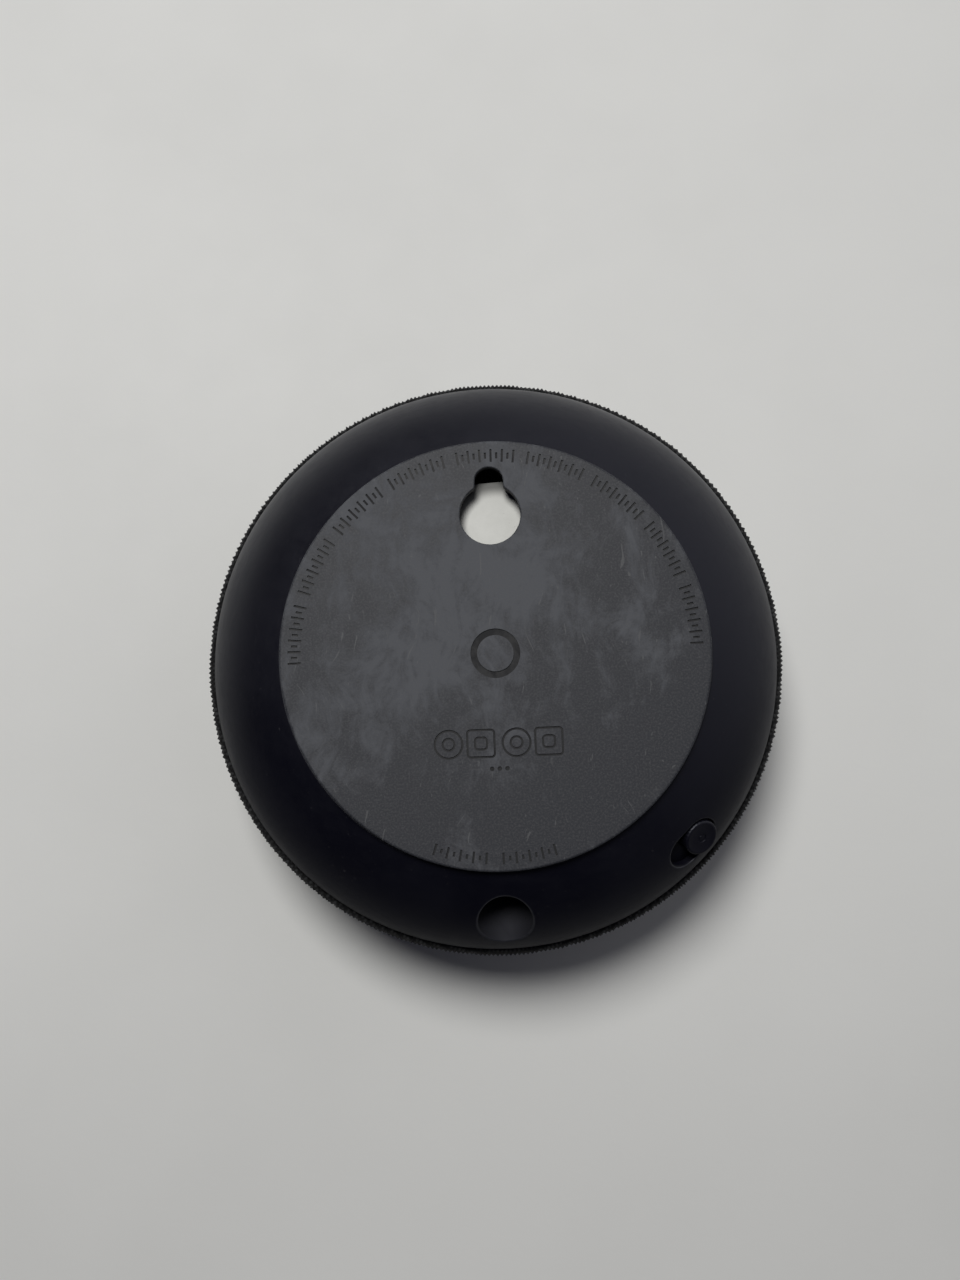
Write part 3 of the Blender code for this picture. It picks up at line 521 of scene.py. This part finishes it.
def foot_finish():
    """Grey silicone: smears of dust, curling wipe marks and scuffs, a painted highlight on the
    side the light comes from, and painted shade on the keyhole walls and engraved floors.
    """
    f = Finish("handled_silicone", specular_ior_level=0.34)
    x, y, z = f.axes()
    # Painted highlight: the silicone is made lighter round (-7, -13) mm, on the side the light
    # comes from.
    painted_highlight = f.ramp(away(f, x, y, -7.0, -13.0), 4.0, 44.0, (0.5, -0.5))
    curl = f.warped(11.0, 9.0)
    clouds = f.noise(15.0, 5.0, 0.6, 0.9)
    smears = f.noise(3.4, 5.0, 0.62, 1.0, f.moved((1, 0.45, 1), (0, 0, 40), vector=curl))
    wipes = f.noise(1.1, 4.0, 0.6, 0.3, f.moved((1, 0.09, 1), (0, 0, -50), vector=curl))
    flecks = f.noise(1.6, 6.0, 0.7, 0.6, curl)
    tone = f.math("MULTIPLY_ADD", painted_highlight, 0.13, f.math("MULTIPLY", clouds, 0.50))
    tone = f.math("MULTIPLY_ADD", smears, 0.24, tone)
    tone = f.math("MULTIPLY_ADD", wipes, 0.12, tone)
    tone = f.math("MULTIPLY_ADD", flecks, 0.14, tone)
    # This mask holds the dust together with the painted highlight; it sets colour, roughness and
    # bump.
    dust_and_highlight = f.ramp(tone, 0.447, 0.588)
    hairs = f.noise(0.5, 1.0, 0.4, 0.0, f.moved((1, 0.035, 1), (0, 0, 65), vector=curl))
    rare = f.ramp(f.noise(9.0, 1.0, 0.4, 0.0, f.moved(at=(0.04, 0.02, 0.0))), 0.40, 0.52)
    scuffs = f.math("MULTIPLY", f.ramp(hairs, 0.70, 0.76), rare)
    speck = f.noise(0.32, 2.0, 0.6)
    body = f.mix(dust_and_highlight, (0.0208, 0.0226, 0.0298), (0.079, 0.0833, 0.0955))
    body = f.mix(f.math("MULTIPLY", f.ramp(speck, 0.40, 0.75), 0.32), body, (0.10, 0.102, 0.106))
    body = f.mix(f.math("MULTIPLY", scuffs, 0.45), body, (0.12, 0.123, 0.128))
    # Painted shade: the keyhole's walls, from just inside its mouth, are darkened almost to black.
    keyhole_wall_shade = f.math("MULTIPLY", key_shaft(f, x, y), f.ramp(z, 0.1 * MM, 0.35 * MM))
    body = f.mix(keyhole_wall_shade, body, (0.005, 0.0052, 0.007))
    # Painted shade: the floors of the engraved marks are darkened.
    off_floor = f.math("ABSOLUTE", f.math("SUBTRACT", z, ENGRAVED * MM))
    floor = f.ramp(off_floor, 0.012 * MM, 0.006 * MM)
    f.set("Base Color", f.mix(floor, body, (0.007, 0.0074, 0.0095)))
    f.set("Roughness", f.ramp(dust_and_highlight, 0.0, 1.0, (0.56, 0.70)))
    grain = f.bump(f.noise(0.22, 3.0, 0.6), 0.012)
    f.set("Normal", f.bump(dust_and_highlight, 0.008, 1.0, grain))
    return f.mat


def knit_finish():
    """Charcoal melange knit with painted shade in the grooves between stitches. The yarns follow
    the stitches, which the UV map counts.
    """
    f = Finish("charcoal_knit", sheen_weight=0.12, sheen_roughness=0.5, specular_ior_level=0.2)
    stitches = f.node("ShaderNodeUVMap", uv_map="stitches").outputs[0]
    across, along, _ = f.axes(stitches)
    waves = [f.math("COSINE", f.math("MULTIPLY", v, math.tau)) for v in (across, along)]
    peaks = [f.math("MULTIPLY_ADD", wave, 0.5, 0.5) for wave in waves]
    crown = f.math("MULTIPLY", *peaks)
    slant = f.math("ABSOLUTE", f.math("SINE", f.math("MULTIPLY", across, math.tau)))
    plies = f.math("SINE", f.math("MULTIPLY", f.math("MULTIPLY_ADD", slant, 0.5, along), 26.0))
    fibre = f.noise(0.09, 3.0, 0.7)
    cells = f.node("ShaderNodeTexWhiteNoise", noise_dimensions="2D")
    snapped = f.node("ShaderNodeVectorMath", operation="SNAP")
    halfway = f.node("ShaderNodeVectorMath", operation="ADD")
    f.feed(halfway.inputs[0], stitches)
    halfway.inputs[1].default_value = (0.5, 0.5, 0.0)
    f.feed(snapped.inputs[0], halfway.outputs[0])
    snapped.inputs[1].default_value = (1.0, 1.0, 1.0)
    f.feed(cells.inputs["Vector"], snapped.outputs[0])
    melange = f.ramp(cells.outputs["Value"], 0.1, 1.0, (0.55, 1.35))
    # Painted shade: each stitch darkens from its top into the grooves beside it; melange and
    # fibres vary it.
    light = f.math("MULTIPLY", f.ramp(crown, 0.04, 0.6, (0.1, 1.0)), melange)
    light = f.math("MULTIPLY", light, f.ramp(fibre, 0.3, 0.7, (0.75, 1.2)))
    f.set("Base Color", f.mix(light, (0.0010, 0.0010, 0.0015), (0.034, 0.035, 0.037)))
    f.set("Roughness", f.ramp(fibre, 0.2, 0.8, (0.82, 0.95)))
    yarn = f.math("MULTIPLY_ADD", plies, 0.12, f.math("MULTIPLY_ADD", fibre, 0.35, crown))
    f.set("Normal", f.bump(yarn, 0.10))
    return f.mat


def lens_finish():
    f = moulded("milky_lens", (0.72, 0.72, 0.69), (0.86, 0.86, 0.83), 0.3, subsurface_weight=0.3)
    f.shader.inputs["Subsurface Radius"].default_value = (0.002, 0.002, 0.002)
    return f


def board_finish():
    """Green solder mask over copper tracks."""
    f = Finish("solder_mask", coat_weight=0.5)
    grid = f.node("ShaderNodeTexBrick")
    f.feed(grid.inputs["Vector"], f.place)
    grid.inputs["Scale"].default_value = 1 / (3.0 * MM)
    grid.inputs["Mortar Size"].default_value = 0.045
    tracks = grid.outputs["Fac"]
    stain = f.noise(4.0, 4.0)
    mask = f.mix(f.ramp(stain, 0.3, 0.7), (0.006, 0.05, 0.022), (0.012, 0.085, 0.036))
    f.set("Base Color", f.mix(tracks, mask, (0.03, 0.16, 0.06)))
    f.set("Roughness", f.ramp(stain, 0.2, 0.8, (0.32, 0.42)))
    f.set("Normal", f.bump(tracks, 0.03))
    return f


def liner_finish():
    """Pale insert at the bottom of the keyhole, lightly speckled, with a painted shadow along its
    edge on the slot's side.
    """
    f = Finish("pale_insert", specular_ior_level=0.3)
    soft = f.noise(3.0, 4.0)
    specks = f.ramp(f.noise(0.3, 2.0), 0.70, 0.78)
    body = f.mix(f.ramp(soft, 0.3, 0.7), (0.66, 0.665, 0.64), (0.72, 0.725, 0.70))
    body = f.mix(f.math("MULTIPLY", specks, 0.5), body, (0.3, 0.3, 0.28))
    x, y, _ = f.axes()
    # Painted shadow: the insert darkens outwards from a point just off its middle towards +X and
    # +Y.
    painted_rim_shadow = f.ramp(away(f, x, y, 0.8, KEY_Y + 1.0), 4.2, 6.4, (0.0, 0.8))
    f.set("Base Color", f.mix(painted_rim_shadow, body, (0.02, 0.02, 0.02)))
    f.set("Roughness", f.ramp(soft, 0.2, 0.8, (0.5, 0.62)))
    f.set("Normal", f.bump(f.noise(0.4, 2.0), 0.01))
    return f


def make_finishes():
    """One finish for each of the record's material slots."""
    steel = metal("zinc_plate", (0.42, 0.42, 0.43), (0.62, 0.62, 0.63), 0.34)
    made = {
        "silicone": foot_finish(),
        "adhesive": moulded("tape", (0.34, 0.36, 0.38), (0.42, 0.44, 0.46), 0.7),
        "black_shell": shell_finish(),
        "black_inner": moulded("black_moulding", (0.010, 0.010, 0.011), (0.016, 0.016, 0.017),
                               0.55),
        "pale_liner": liner_finish(),
        "knit": knit_finish(),
        "orange_flag": moulded("orange_flag", (0.72, 0.16, 0.02), (0.86, 0.22, 0.03), 0.5),
        "steel": steel,
        "tin_can": metal("tinned_can", (0.52, 0.52, 0.51), (0.70, 0.70, 0.69), 0.3, (12, 1, 1)),
        "cast_alloy": metal("cast_alloy", (0.46, 0.47, 0.48), (0.62, 0.63, 0.64), 0.5, (1, 1, 1)),
        "ferrite": moulded("ferrite", (0.022, 0.022, 0.024), (0.040, 0.040, 0.042), 0.62, 0.12),
        "copper": metal("enamelled_copper", (0.55, 0.22, 0.10), (0.80, 0.38, 0.20), 0.3,
                        (1, 1, 30)),
        "contact_brass": metal("contact_brass", (0.60, 0.42, 0.16), (0.82, 0.62, 0.28), 0.26),
        "board": board_finish(),
        "rubber_seal": moulded("seal_rubber", (0.010, 0.010, 0.010), (0.018, 0.018, 0.018), 0.8),
        "cone_paper": woven("pressed_pulp", (0.020, 0.020, 0.020), (0.045, 0.045, 0.044), 0.92,
                            0.5, 0.05),
        "damped_cloth": woven("treated_cloth", (0.30, 0.17, 0.04), (0.56, 0.36, 0.12), 0.9,
                              0.45, 0.06),
        "film": moulded("amber_film", (0.36, 0.14, 0.02), (0.48, 0.20, 0.03), 0.32,
                        coat_weight=0.3),
        "gap_pad": moulded("gap_pad", (0.24, 0.30, 0.36), (0.32, 0.38, 0.44), 0.8),
        "lens": lens_finish(),
        "red_lead": moulded("red_sleeve", (0.36, 0.012, 0.012), (0.48, 0.02, 0.02), 0.42),
        "black_lead": moulded("black_sleeve", (0.010, 0.010, 0.010), (0.02, 0.02, 0.02), 0.42),
    }
    return {slot: f.mat if isinstance(f, Finish) else f for slot, f in made.items()}


def paint(ob, finishes, slot):
    ob.data.materials.clear()
    ob.data.materials.append(finishes[slot])
    return ob


def paint_frame(frame, finishes):
    """Gives every CAD node the finish of the slot that the record states for it."""
    for part in frame["record"]["subparts"]:
        ob = frame["nodes"][part["node"]]
        for slot in ob.material_slots:
            slot.link = "OBJECT"
            slot.material = finishes[part["material_slot"]]


# ---------------------------------------------------------------- foot

def mark_outlines():
    """Plain engraved marks: rim ticks in even groups, a ring, and a row of small figures."""
    marks = []

    def band(centre, radius, width, count=40):
        marks.append((arc(centre, radius, 0, 360 * (1 - 1 / count), count),
                      arc(centre, radius - width, 0, 360 * (1 - 1 / count), count)))

    def frame_of(centre, half, width):
        loops = []
        for reach, corner in ((half, 0.7), (half - width, 0.7 - width)):
            inner = reach - corner
            loop = []
            for quarter, (sx, sy) in enumerate(((1, 1), (-1, 1), (-1, -1), (1, -1))):
                at = (centre[0] + sx * inner, centre[1] + sy * inner)
                loop += arc(at, corner, 90 * quarter, 90 * quarter + 90, 6)
            loops.append(loop)
        marks.append(tuple(loops))

    def tick(azimuth, inner, outer, width):
        x, y = polar(1.0, azimuth)
        half = width / 2
        corners = [(inner, -half), (outer, -half), (outer, half), (inner, half)]
        marks.append(([(r * x - s * y, r * y + s * x) for r, s in corners], None))

    for start, stop, groups, size, inner, outer in (
        (178.0, 363.0, 9, 11, 30.9, 33.0), (110.0, 71.6, 2, 9, 31.4, 33.2),
    ):
        span = (stop - start) / groups
        for group in range(groups):
            for i in range(size):
                azimuth = start + span * (group + (i + 0.5) / (size + 1.6))
                short = 0.55 if i % 2 else 0.0
                tick(azimuth, inner + short, outer - short, 0.34)
    band((0.0, 0.2), 3.95, 1.05, 72)
    for x, square in ((-7.9, False), (-2.8, True), (2.8, False), (7.9, True)):
        if square:
            frame_of((x, 14.4), 2.3, 0.34)
            frame_of((x, 14.4), 1.1, 0.34)
        else:
            band((x, 14.4), 2.35, 0.34)
            band((x, 14.4), 1.1, 0.34, 24)
    for x in (-1.2, 0.0, 1.2):
        marks.append((arc((x, 18.4), 0.36, 0, 330, 12), None))
    return marks


def make_foot(finishes):
    """The round pad: softened rim, keyhole with a rolled lip, engraved marks."""
    edge, lip = 0.42, 0.22
    side = [(FOOT_R - 1.2, 0.0), (FOOT_R, 0.0), (FOOT_R, FOOT_TOP), (FOOT_R - 0.6, FOOT_TOP)]
    rim = rounded(side, edge, 5)
    profile = [(0.0, FOOT_TOP)] + rim[::-1] + [(0.0, 0.0)]
    foot = turned("foot", profile, WALL_STEPS)
    levels = [(0.0, FOOT_TOP + 0.5), (0.0, lip)]
    levels += [(lip * (1 - math.cos(a)), lip * (1 - math.sin(a))) for a in (0.4, 0.8, 1.2)]
    levels += [(lip * 1.6, -0.15)]
    rings = [[(x, y, z) for x, y in keyhole(grow)] for grow, z in levels]
    combine(foot, loft("key_cut", rings), "DIFFERENCE")

    bm = bmesh.new()
    for outer, inner in mark_outlines():
        loops = [outer] if inner is None else [outer, inner]
        rows = []
        for loop in loops:
            rows.append([[bm.verts.new((x * MM, y * MM, z * MM)) for x, y in loop]
                         for z in (-0.2, ENGRAVED)])
        for low, high in rows:
            for i in range(len(low)):
                j = (i + 1) % len(low)
                bm.faces.new((low[i], low[j], high[j], high[i]))
        for level in (0, 1):
            if inner is None:
                bm.faces.new(rows[0][level])
                continue
            a, b = rows[0][level], rows[1][level]
            for i in range(len(a)):
                j = (i + 1) % len(a)
                bm.faces.new((a[i], a[j], b[j], b[i]))
    bmesh.ops.recalc_face_normals(bm, faces=bm.faces)
    mesh = bpy.data.meshes.new("marks_cut")
    bm.to_mesh(mesh)
    bm.free()
    combine(foot, link("marks_cut", mesh), "DIFFERENCE")
    tidy(foot.data, 30.0)
    paint(weighted(foot), finishes, "silicone")
    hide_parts("foot_pad")
    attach(foot, "case")


# ---------------------------------------------------------------- base shell

def make_shell(finishes):
    """The satin bowl with its port, switch slot, keyhole, posts and the tongue into the top."""
    top = FLOOR_LOW + FLOOR_T
    outside = [(wall_radius(z), z) for z in np.linspace(FLOOR_LOW + 0.12, SPLIT_Z, 34)]
    lip = [(TONGUE_OUT, SPLIT_Z), (TONGUE_OUT, TONGUE_TOP), (TONGUE_IN, TONGUE_TOP)]
    inside = [(wall_radius(z, SHELL_T), z) for z in np.linspace(SPLIT_Z - 3.5, top, 10)]
    rim = rounded([outside[-3], outside[-1], lip[0]], 0.4, 5)
    profile = [(0.0, FLOOR_LOW), (outside[0][0] - 0.2, FLOOR_LOW)] + outside[:-2] + rim
    profile += rounded([rim[-1], *lip[1:], inside[0]], 0.2)[1:-1] + inside + [(0.0, top)]
    shell = turned("satin_base", profile, WALL_STEPS)

    port, slot = wall_frame(*PORT), wall_frame(*SLIDER)
    hull = [(0.0, SPLIT_Z)] + [(wall_radius(z, 0.6), z) for z in (SPLIT_Z, 12, 9, 6, 4, 2.6)]
    tube = prism("tube", arc((0, 0), PORT_TUBE_R, 0, 352.5, 48), JACK_FACE + 0.4, 9.0, port)
    combine(tube, turned("hull", hull + [(0.0, 2.6)]), "INTERSECT")
    combine(shell, tube, "UNION")
    for azimuth in POST_AZ:
        x, y = polar(POST_RING_R, azimuth)
        spot = Matrix.Translation((x * MM, y * MM, 0.0))
        low = FLOOR_LOW + 0.6
        post = [(0.0, POST_TOP), (POST_R, POST_TOP), (POST_R, low), (0.0, low)]
        combine(shell, turned("post", post, 32, spot), "UNION")
        above = POST_TOP + 2.0
        hole = [(0.0, above), (POST_HOLE_R, above), (POST_HOLE_R, HEAD_HOLE_TOP),
                (HEAD_HOLE_R, HEAD_HOLE_TOP), (HEAD_HOLE_R, 0.0), (0.0, 0.0)]
        combine(shell, turned("hole", hole, 32, spot), "DIFFERENCE")
    combine(shell, prism("key", keyhole(KEY_CLEARANCE), 1.0, 4.0), "DIFFERENCE")
    bore = arc((0, 0), PORT_R, 0, 360 * 95 / 96, 96)
    combine(shell, flared_cutter("bore", bore, port, JACK_FACE - 0.5, 0.34), "DIFFERENCE")
    mouth = stadium(SLIDER_TRAVEL / 2 + SLOT_R, SLOT_R, 32)
    combine(shell, flared_cutter("mouth", mouth, slot, -3.0, 0.26), "DIFFERENCE")
    room = prism("room", stadium(ROOM_HALF, ROOM_R), ROOM_LOW, ROOM_TOP, slot)
    combine(shell, room, "DIFFERENCE")
    tidy(shell.data, 32.0)
    paint(weighted(shell), finishes, "black_shell")
    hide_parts("base_shell")
    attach(shell, "case")


# ---------------------------------------------------------------- switch knob

def make_knob(finishes):
    """Round knob with a gripping edge, a chamfered face and a small ring recess."""
    rest = wall_frame(*SLIDER) @ Matrix.Translation((-SLIDER_TRAVEL / 2 * MM, 0.0, 0.0))
    face = KNOB_TOP - 0.08
    steps, ridges = 180, 30
    low = CARRIER_TOP - 0.3
    plan = [  # radius, height and depth of the grip ridges
        (0.0, face, 0), (0.42, face, 0), (0.46, face - 0.1, 0), (0.80, face - 0.1, 0),
        (0.84, face, 0), (1.6, face + 0.01, 0), (2.3, face + 0.04, 0), (2.5, KNOB_TOP, 0),
        (KNOB_R - 0.32, KNOB_TOP, 0), (KNOB_R - 0.16, KNOB_TOP - 0.07, 0),
        (KNOB_R - 0.03, KNOB_TOP - 0.24, 0.03), (KNOB_R, KNOB_TOP - 0.42, 0.1),
        (KNOB_R, KNOB_TOP - 1.6, 0.1), (KNOB_R, low, 0.1), (0.0, low, 0),
    ]
    rings = []
    for radius, height, ridge in plan:
        ring = []
        for i in range(steps):
            angle = math.tau * i / steps
            r = radius - ridge * (0.5 - 0.5 * math.cos(ridges * angle))
            ring.append((r * math.cos(angle), r * math.sin(angle), height))
        rings.append(ring)
    knob = loft("switch_knob", rings, False, rest, 45.0)
    plate = prism("plate", stadium(CARRIER_HALF, CARRIER_R), CARRIER_LOW, CARRIER_TOP, rest)
    combine(knob, plate, "UNION")
    fork = [(-FORK_X, -FORK_Y), (FORK_X, -FORK_Y), (FORK_X, FORK_Y), (-FORK_X, FORK_Y)]
    fork = prism("fork", fork, CARRIER_LOW - FORK_REACH, CARRIER_TOP + FORK_REACH, rest)
    combine(knob, fork, "DIFFERENCE")
    tidy(knob.data, 40.0)
    paint(weighted(knob), finishes, "black_shell")
    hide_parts("mic_slider_knob")
    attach(knob, "mic_slider")


# ---------------------------------------------------------------- knitted dome

def fabric_outline():
    """The cover's outer outline from crown to folded hem: distance along it, radius and height."""
    dome = [dome_point(90.0 - 90.0 * i / 180) for i in range(181)]
    fold = 0.6 * (EQUATOR_Z - HEM_Z)
    roll = [(BODY_R - fold + fold * math.cos(a), HEM_Z + fold - fold * math.sin(a))
            for a in np.linspace(0.0, math.pi / 2, 12)]
    hem = [(HEM_IN + 0.2, HEM_Z), (HEM_IN, HEM_Z + 0.2), (HEM_IN, HEM_Z + 0.6)]
    points = np.array(dome + roll + hem)
    along = np.concatenate([[0.0], np.cumsum(np.hypot(*np.diff(points, axis=0).T))])
    return along, points[:, 0], points[:, 1]


def make_fabric(finishes):
    """A flat knit wrapped over the dome, each stitch a small bead that stands proud."""
    along, radii, heights = fabric_outline()
    length = along[-1]
    du, dv = STITCH / 2, COURSE / 2
    nu, nv = int(length / du) + 2, int(length / dv) + 2
    u, v = np.meshgrid(np.arange(-nu, nu + 1), np.arange(-nv, nv + 1), indexing="ij")
    flat = np.hypot(u * du, v * dv)
    azimuth = np.arctan2(v * dv, u * du)
    reach = np.minimum(flat, length)
    r, z = np.interp(reach, along, radii), np.interp(reach, along, heights)
    step = 0.2  # for the outline's slope
    ahead, behind = np.minimum(reach + step, length), np.maximum(reach - step, 0.0)
    dr = np.interp(ahead, along, radii) - np.interp(behind, along, radii)
    dz = np.interp(ahead, along, heights) - np.interp(behind, along, heights)
    slope = np.hypot(dr, dz)
    slope[slope == 0] = 1.0
    out_r, out_z = -dz / slope, dr / slope
    bump = RELIEF * (PROUD - np.maximum(u % 2, v % 2))
    r, z = r + out_r * bump, np.maximum(z + out_z * bump, SPLIT_Z + 0.03)
    points = np.stack([r * np.cos(azimuth), r * np.sin(azimuth), z], axis=-1) * MM

    inside = flat < length
    corner = inside[:-1, :-1] | inside[1:, :-1] | inside[:-1, 1:] | inside[1:, 1:]
    index = np.arange(u.size).reshape(u.shape)
    quads = np.stack([index[:-1, :-1], index[1:, :-1], index[1:, 1:], index[:-1, 1:]], axis=-1)
    quads = quads[corner]
    used, compact = np.unique(quads, return_inverse=True)
    mesh = bpy.data.meshes.new("knit_cover")
    mesh.from_pydata(points.reshape(-1, 3)[used].tolist(), [], compact.reshape(-1, 4).tolist())
    counts = np.stack([u / 2, v / 2], axis=-1).reshape(-1, 2)[used]
    corners = np.empty(len(mesh.loops), np.int32)
    mesh.loops.foreach_get("vertex_index", corners)
    uv = mesh.uv_layers.new(name="stitches")
    uv.data.foreach_set("uv", counts[corners].astype(np.float32).ravel())
    mesh.shade_smooth()
    cover = link("knit_cover", mesh)
    paint(cover, finishes, "knit")
    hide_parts("fabric_cover")
    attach(cover, "case")


# ---------------------------------------------------------------- driver suspension

def make_suspension(finishes):
    """Surround in two halves, the outer one still and the inner one following the cone; the spider
    stays still.
    """
    base, lid, top = SURROUND_Z, SURROUND_Z + SURROUND_T, SURROUND_Z + ROLL_R

    def half(start, stop):
        middle = (ROLL_MIDDLE_R, base)
        over = arc(middle, ROLL_R, start, stop, 14)
        return over, arc(middle, ROLL_R - SURROUND_T, stop, start, 14)

    over, under = half(0, 90)
    outer = [(RIM_OUT, base), (RIM_OUT, lid), (ROLL_MIDDLE_R + ROLL_R + 0.1, lid)]
    outer += over[1:] + under + [(ROLL_MIDDLE_R + ROLL_R - SURROUND_T, base)]
    over, under = half(90, 180)
    inner = over + [(CONE_LAP_R, base + 0.25), (CONE_LAP_R, base - 0.05)] + under
    for name, profile in (("surround_outer", outer), ("surround_inner", inner)):
        piece = turned(name, profile + [profile[0]], 96)
        paint(piece, finishes, "rubber_seal")
        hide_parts("cone_surround")
        if name == "surround_outer":
            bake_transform(piece)
        else:
            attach(piece, "cone_assembly")

    line = []
    for i in range(65):
        t = i / 64
        wave = WAVE_HEIGHT * math.sin(math.tau * SPIDER_WAVES * t) * math.sin(math.pi * t) ** 0.5
        line.append((SPIDER_OUT + (SPIDER_IN - SPIDER_OUT) * t, SPIDER_Z + SPIDER_RISE * t + wave))
    low = [(SPIDER_RIM, SPIDER_Z - 0.13)] + [(r, z - SPIDER_T / 2) for r, z in line]
    high = [(r, z + SPIDER_T / 2) for r, z in line[::-1]] + [(SPIDER_RIM, SPIDER_Z + 0.15)]
    spider = turned("spider_waves", low + high + low[:1], 96)
    paint(spider, finishes, "damped_cloth")
    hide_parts("speaker_spider")
    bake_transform(spider)


# ---------------------------------------------------------------- stage, lights and camera

def make_camera():
    """Looks up at the foot, a little from the port's side."""
    turn, tilt, pan = (math.radians(a) for a in (2.2, 6.79, 0.65))
    place = Vector((-0.27, 20.61, -189.1)) * MM
    ahead = Vector((0, -math.sin(tilt), math.cos(tilt)))
    right = Vector((math.cos(pan), 0, 0)) + ahead * math.sin(pan)
    optical = ahead * math.cos(pan) - Vector((math.sin(pan), 0, 0))
    down = Vector((0, math.cos(tilt), math.sin(tilt)))
    axes = Matrix((right, -down, -optical)).transposed().to_4x4()
    axes.translation = place
    data = bpy.data.cameras.new("camera")
    data.sensor_width, data.lens = 36.0, 33.75
    data.clip_start, data.clip_end = 0.01, 20.0
    camera = link("camera", data, Matrix.Rotation(turn, 4, "Z") @ axes)
    bpy.context.scene.camera = camera
    return camera


def shown_when(ob, camera, rule):
    """Shows a stage object or light only while the camera's height fits the rule."""
    driver = ob.driver_add("hide_render").driver
    height = driver.variables.new()
    height.name = "height"
    height.type = "TRANSFORMS"
    height.targets[0].id = camera
    height.targets[0].transform_type = "LOC_Z"
    driver.expression = f"not ({rule})"


def area_light(name, at, target, size, power, colour):
    data = bpy.data.lights.new(name, "AREA")
    data.shape = "DISK"
    data.size, data.energy, data.color = size, power, colour
    place = Vector(at)
    aim = (Vector(target) - place).to_track_quat("-Z", "Y").to_matrix().to_4x4()
    aim.translation = place
    return link(name, data, aim)


def matte_stage(name, painted_shade, fade):
    """Pale matte stage. By dim it is painted darker towards the port's side as shade, and darker
    still in the object's reflections of it; by fade it turns into the backdrop far out.
    """
    f = Finish(name)
    x, y, _ = f.axes()
    plain = f.mix(f.ramp(f.noise(60.0, 5.0), 0.3, 0.7), (0.76, 0.765, 0.755), (0.79, 0.795, 0.785))
    # Painted shade: the stage darkens towards the port's side, as if the light fell off there.
    plain = f.mix(f.ramp(y, 0.02, 0.11, (0.0, 0.25 * painted_shade)), plain, (0.39, 0.39, 0.385))
    # Painted shade in reflections: rays mirrored off the object see the stage darker towards the
    # port's side.
    mirrored = f.node("ShaderNodeLightPath").outputs["Is Glossy Ray"]
    share = f.math("MULTIPLY", f.ramp(y, -0.05, 0.055, (0.0, painted_shade), False), mirrored)
    far = f.ramp(away(f, x, y), 250.0, 1100.0, (0.0, fade))
    plain = f.mix(share, plain, (0.02, 0.02, 0.025))
    f.set("Base Color", f.mix(far, plain, (0.0, 0.0, 0.0)))
    f.set("Specular IOR Level", f.ramp(far, 0.0, 1.0, (0.2, 0.0)))
    f.set("Emission Color", BACKDROP)
    f.set("Emission Strength", far)
    f.set("Roughness", f.ramp(f.noise(8.0, 3.0), 0.3, 0.7, (0.6, 0.7)))
    f.set("Normal", f.bump(f.noise(1.6, 4.0, 0.6), 0.02))
    return f.mat


def make_stage(camera):
    """A table and its light for a camera below the foot, a floor and three for one above."""
    square = ((-1, -1), (1, -1), (1, 1), (-1, 1))
    for name, height, side, painted_shade, fade, rule in (
        ("table", BODY_H + TABLE_GAP, 0.9, 0.75, 0.0, FROM_BELOW),
        ("floor", -TABLE_GAP, 6.0, 0.0, 1.0, FROM_ABOVE),
    ):
        mesh = bpy.data.meshes.new(name)
        corners = [(x * side, y * side, height * MM) for x, y in square]
        mesh.from_pydata(corners, [], [(0, 1, 2, 3)])
        ob = link(name, mesh)
        mesh.materials.append(matte_stage("matte_" + name, painted_shade, fade))
        shown_when(ob, camera, rule)
    centre = (0, 0, 0.02)
    for name, at, size, power, colour, rule in (
        ("key_below", (-0.13, -0.375, -0.88), 0.39, 7.1, (1.0, 0.99, 0.96), FROM_BELOW),
        ("key_above", (-0.55, -0.6, 0.95), 0.7, 11.0, (1.0, 0.99, 0.97), FROM_ABOVE),
        ("fill_above", (0.8, -0.35, 0.6), 0.9, 4.0, (0.97, 0.98, 1.0), FROM_ABOVE),
        ("back_above", (0.2, 0.9, 0.7), 0.8, 5.0, (1.0, 1.0, 1.0), FROM_ABOVE),
    ):
        shown_when(area_light(name, at, centre, size, power, colour), camera, rule)


def make_world():
    """Pale behind the stage; as light it is a soft glow, strongest from the knob's side."""
    world = bpy.data.worlds.new("soft_room")
    bpy.context.scene.world = world
    world.use_nodes = True
    tree = world.node_tree
    tree.nodes.clear()
    node = tree.nodes.new
    out, seen, glow, mix = (node("ShaderNode" + kind) for kind in (
        "OutputWorld", "Background", "Background", "MixShader"))
    path, way, ramp = (node("ShaderNode" + kind) for kind in ("LightPath", "TexCoord", "ValToRGB"))
    seen.inputs["Color"].default_value = (*BACKDROP, 1)
    lean = node("ShaderNodeVectorMath")
    lean.operation = "DOT_PRODUCT"
    tree.links.new(way.outputs["Generated"], lean.inputs[0])
    lean.inputs[1].default_value = Vector((0.82, -0.55, -0.1)).normalized()
    tree.links.new(lean.outputs["Value"], ramp.inputs[0])
    ramp.color_ramp.elements[0].color = (0.006, 0.006, 0.014, 1)
    ramp.color_ramp.elements[1].color = (0.50, 0.50, 0.52, 1)
    middle = ramp.color_ramp.elements.new(0.45)
    middle.color = (0.085, 0.085, 0.095, 1)
    tree.links.new(ramp.outputs[0], glow.inputs["Color"])
    tree.links.new(path.outputs["Is Camera Ray"], mix.inputs[0])
    tree.links.new(glow.outputs[0], mix.inputs[1])
    tree.links.new(seen.outputs[0], mix.inputs[2])
    tree.links.new(mix.outputs[0], out.inputs[0])


def main():
    finishes = make_finishes()
    paint_frame(frame, finishes)
    make_foot(finishes)
    make_shell(finishes)
    make_knob(finishes)
    make_fabric(finishes)
    make_suspension(finishes)
    camera = make_camera()
    make_stage(camera)
    make_world()
    bpy.context.scene.view_settings.view_transform = "Standard"


main()
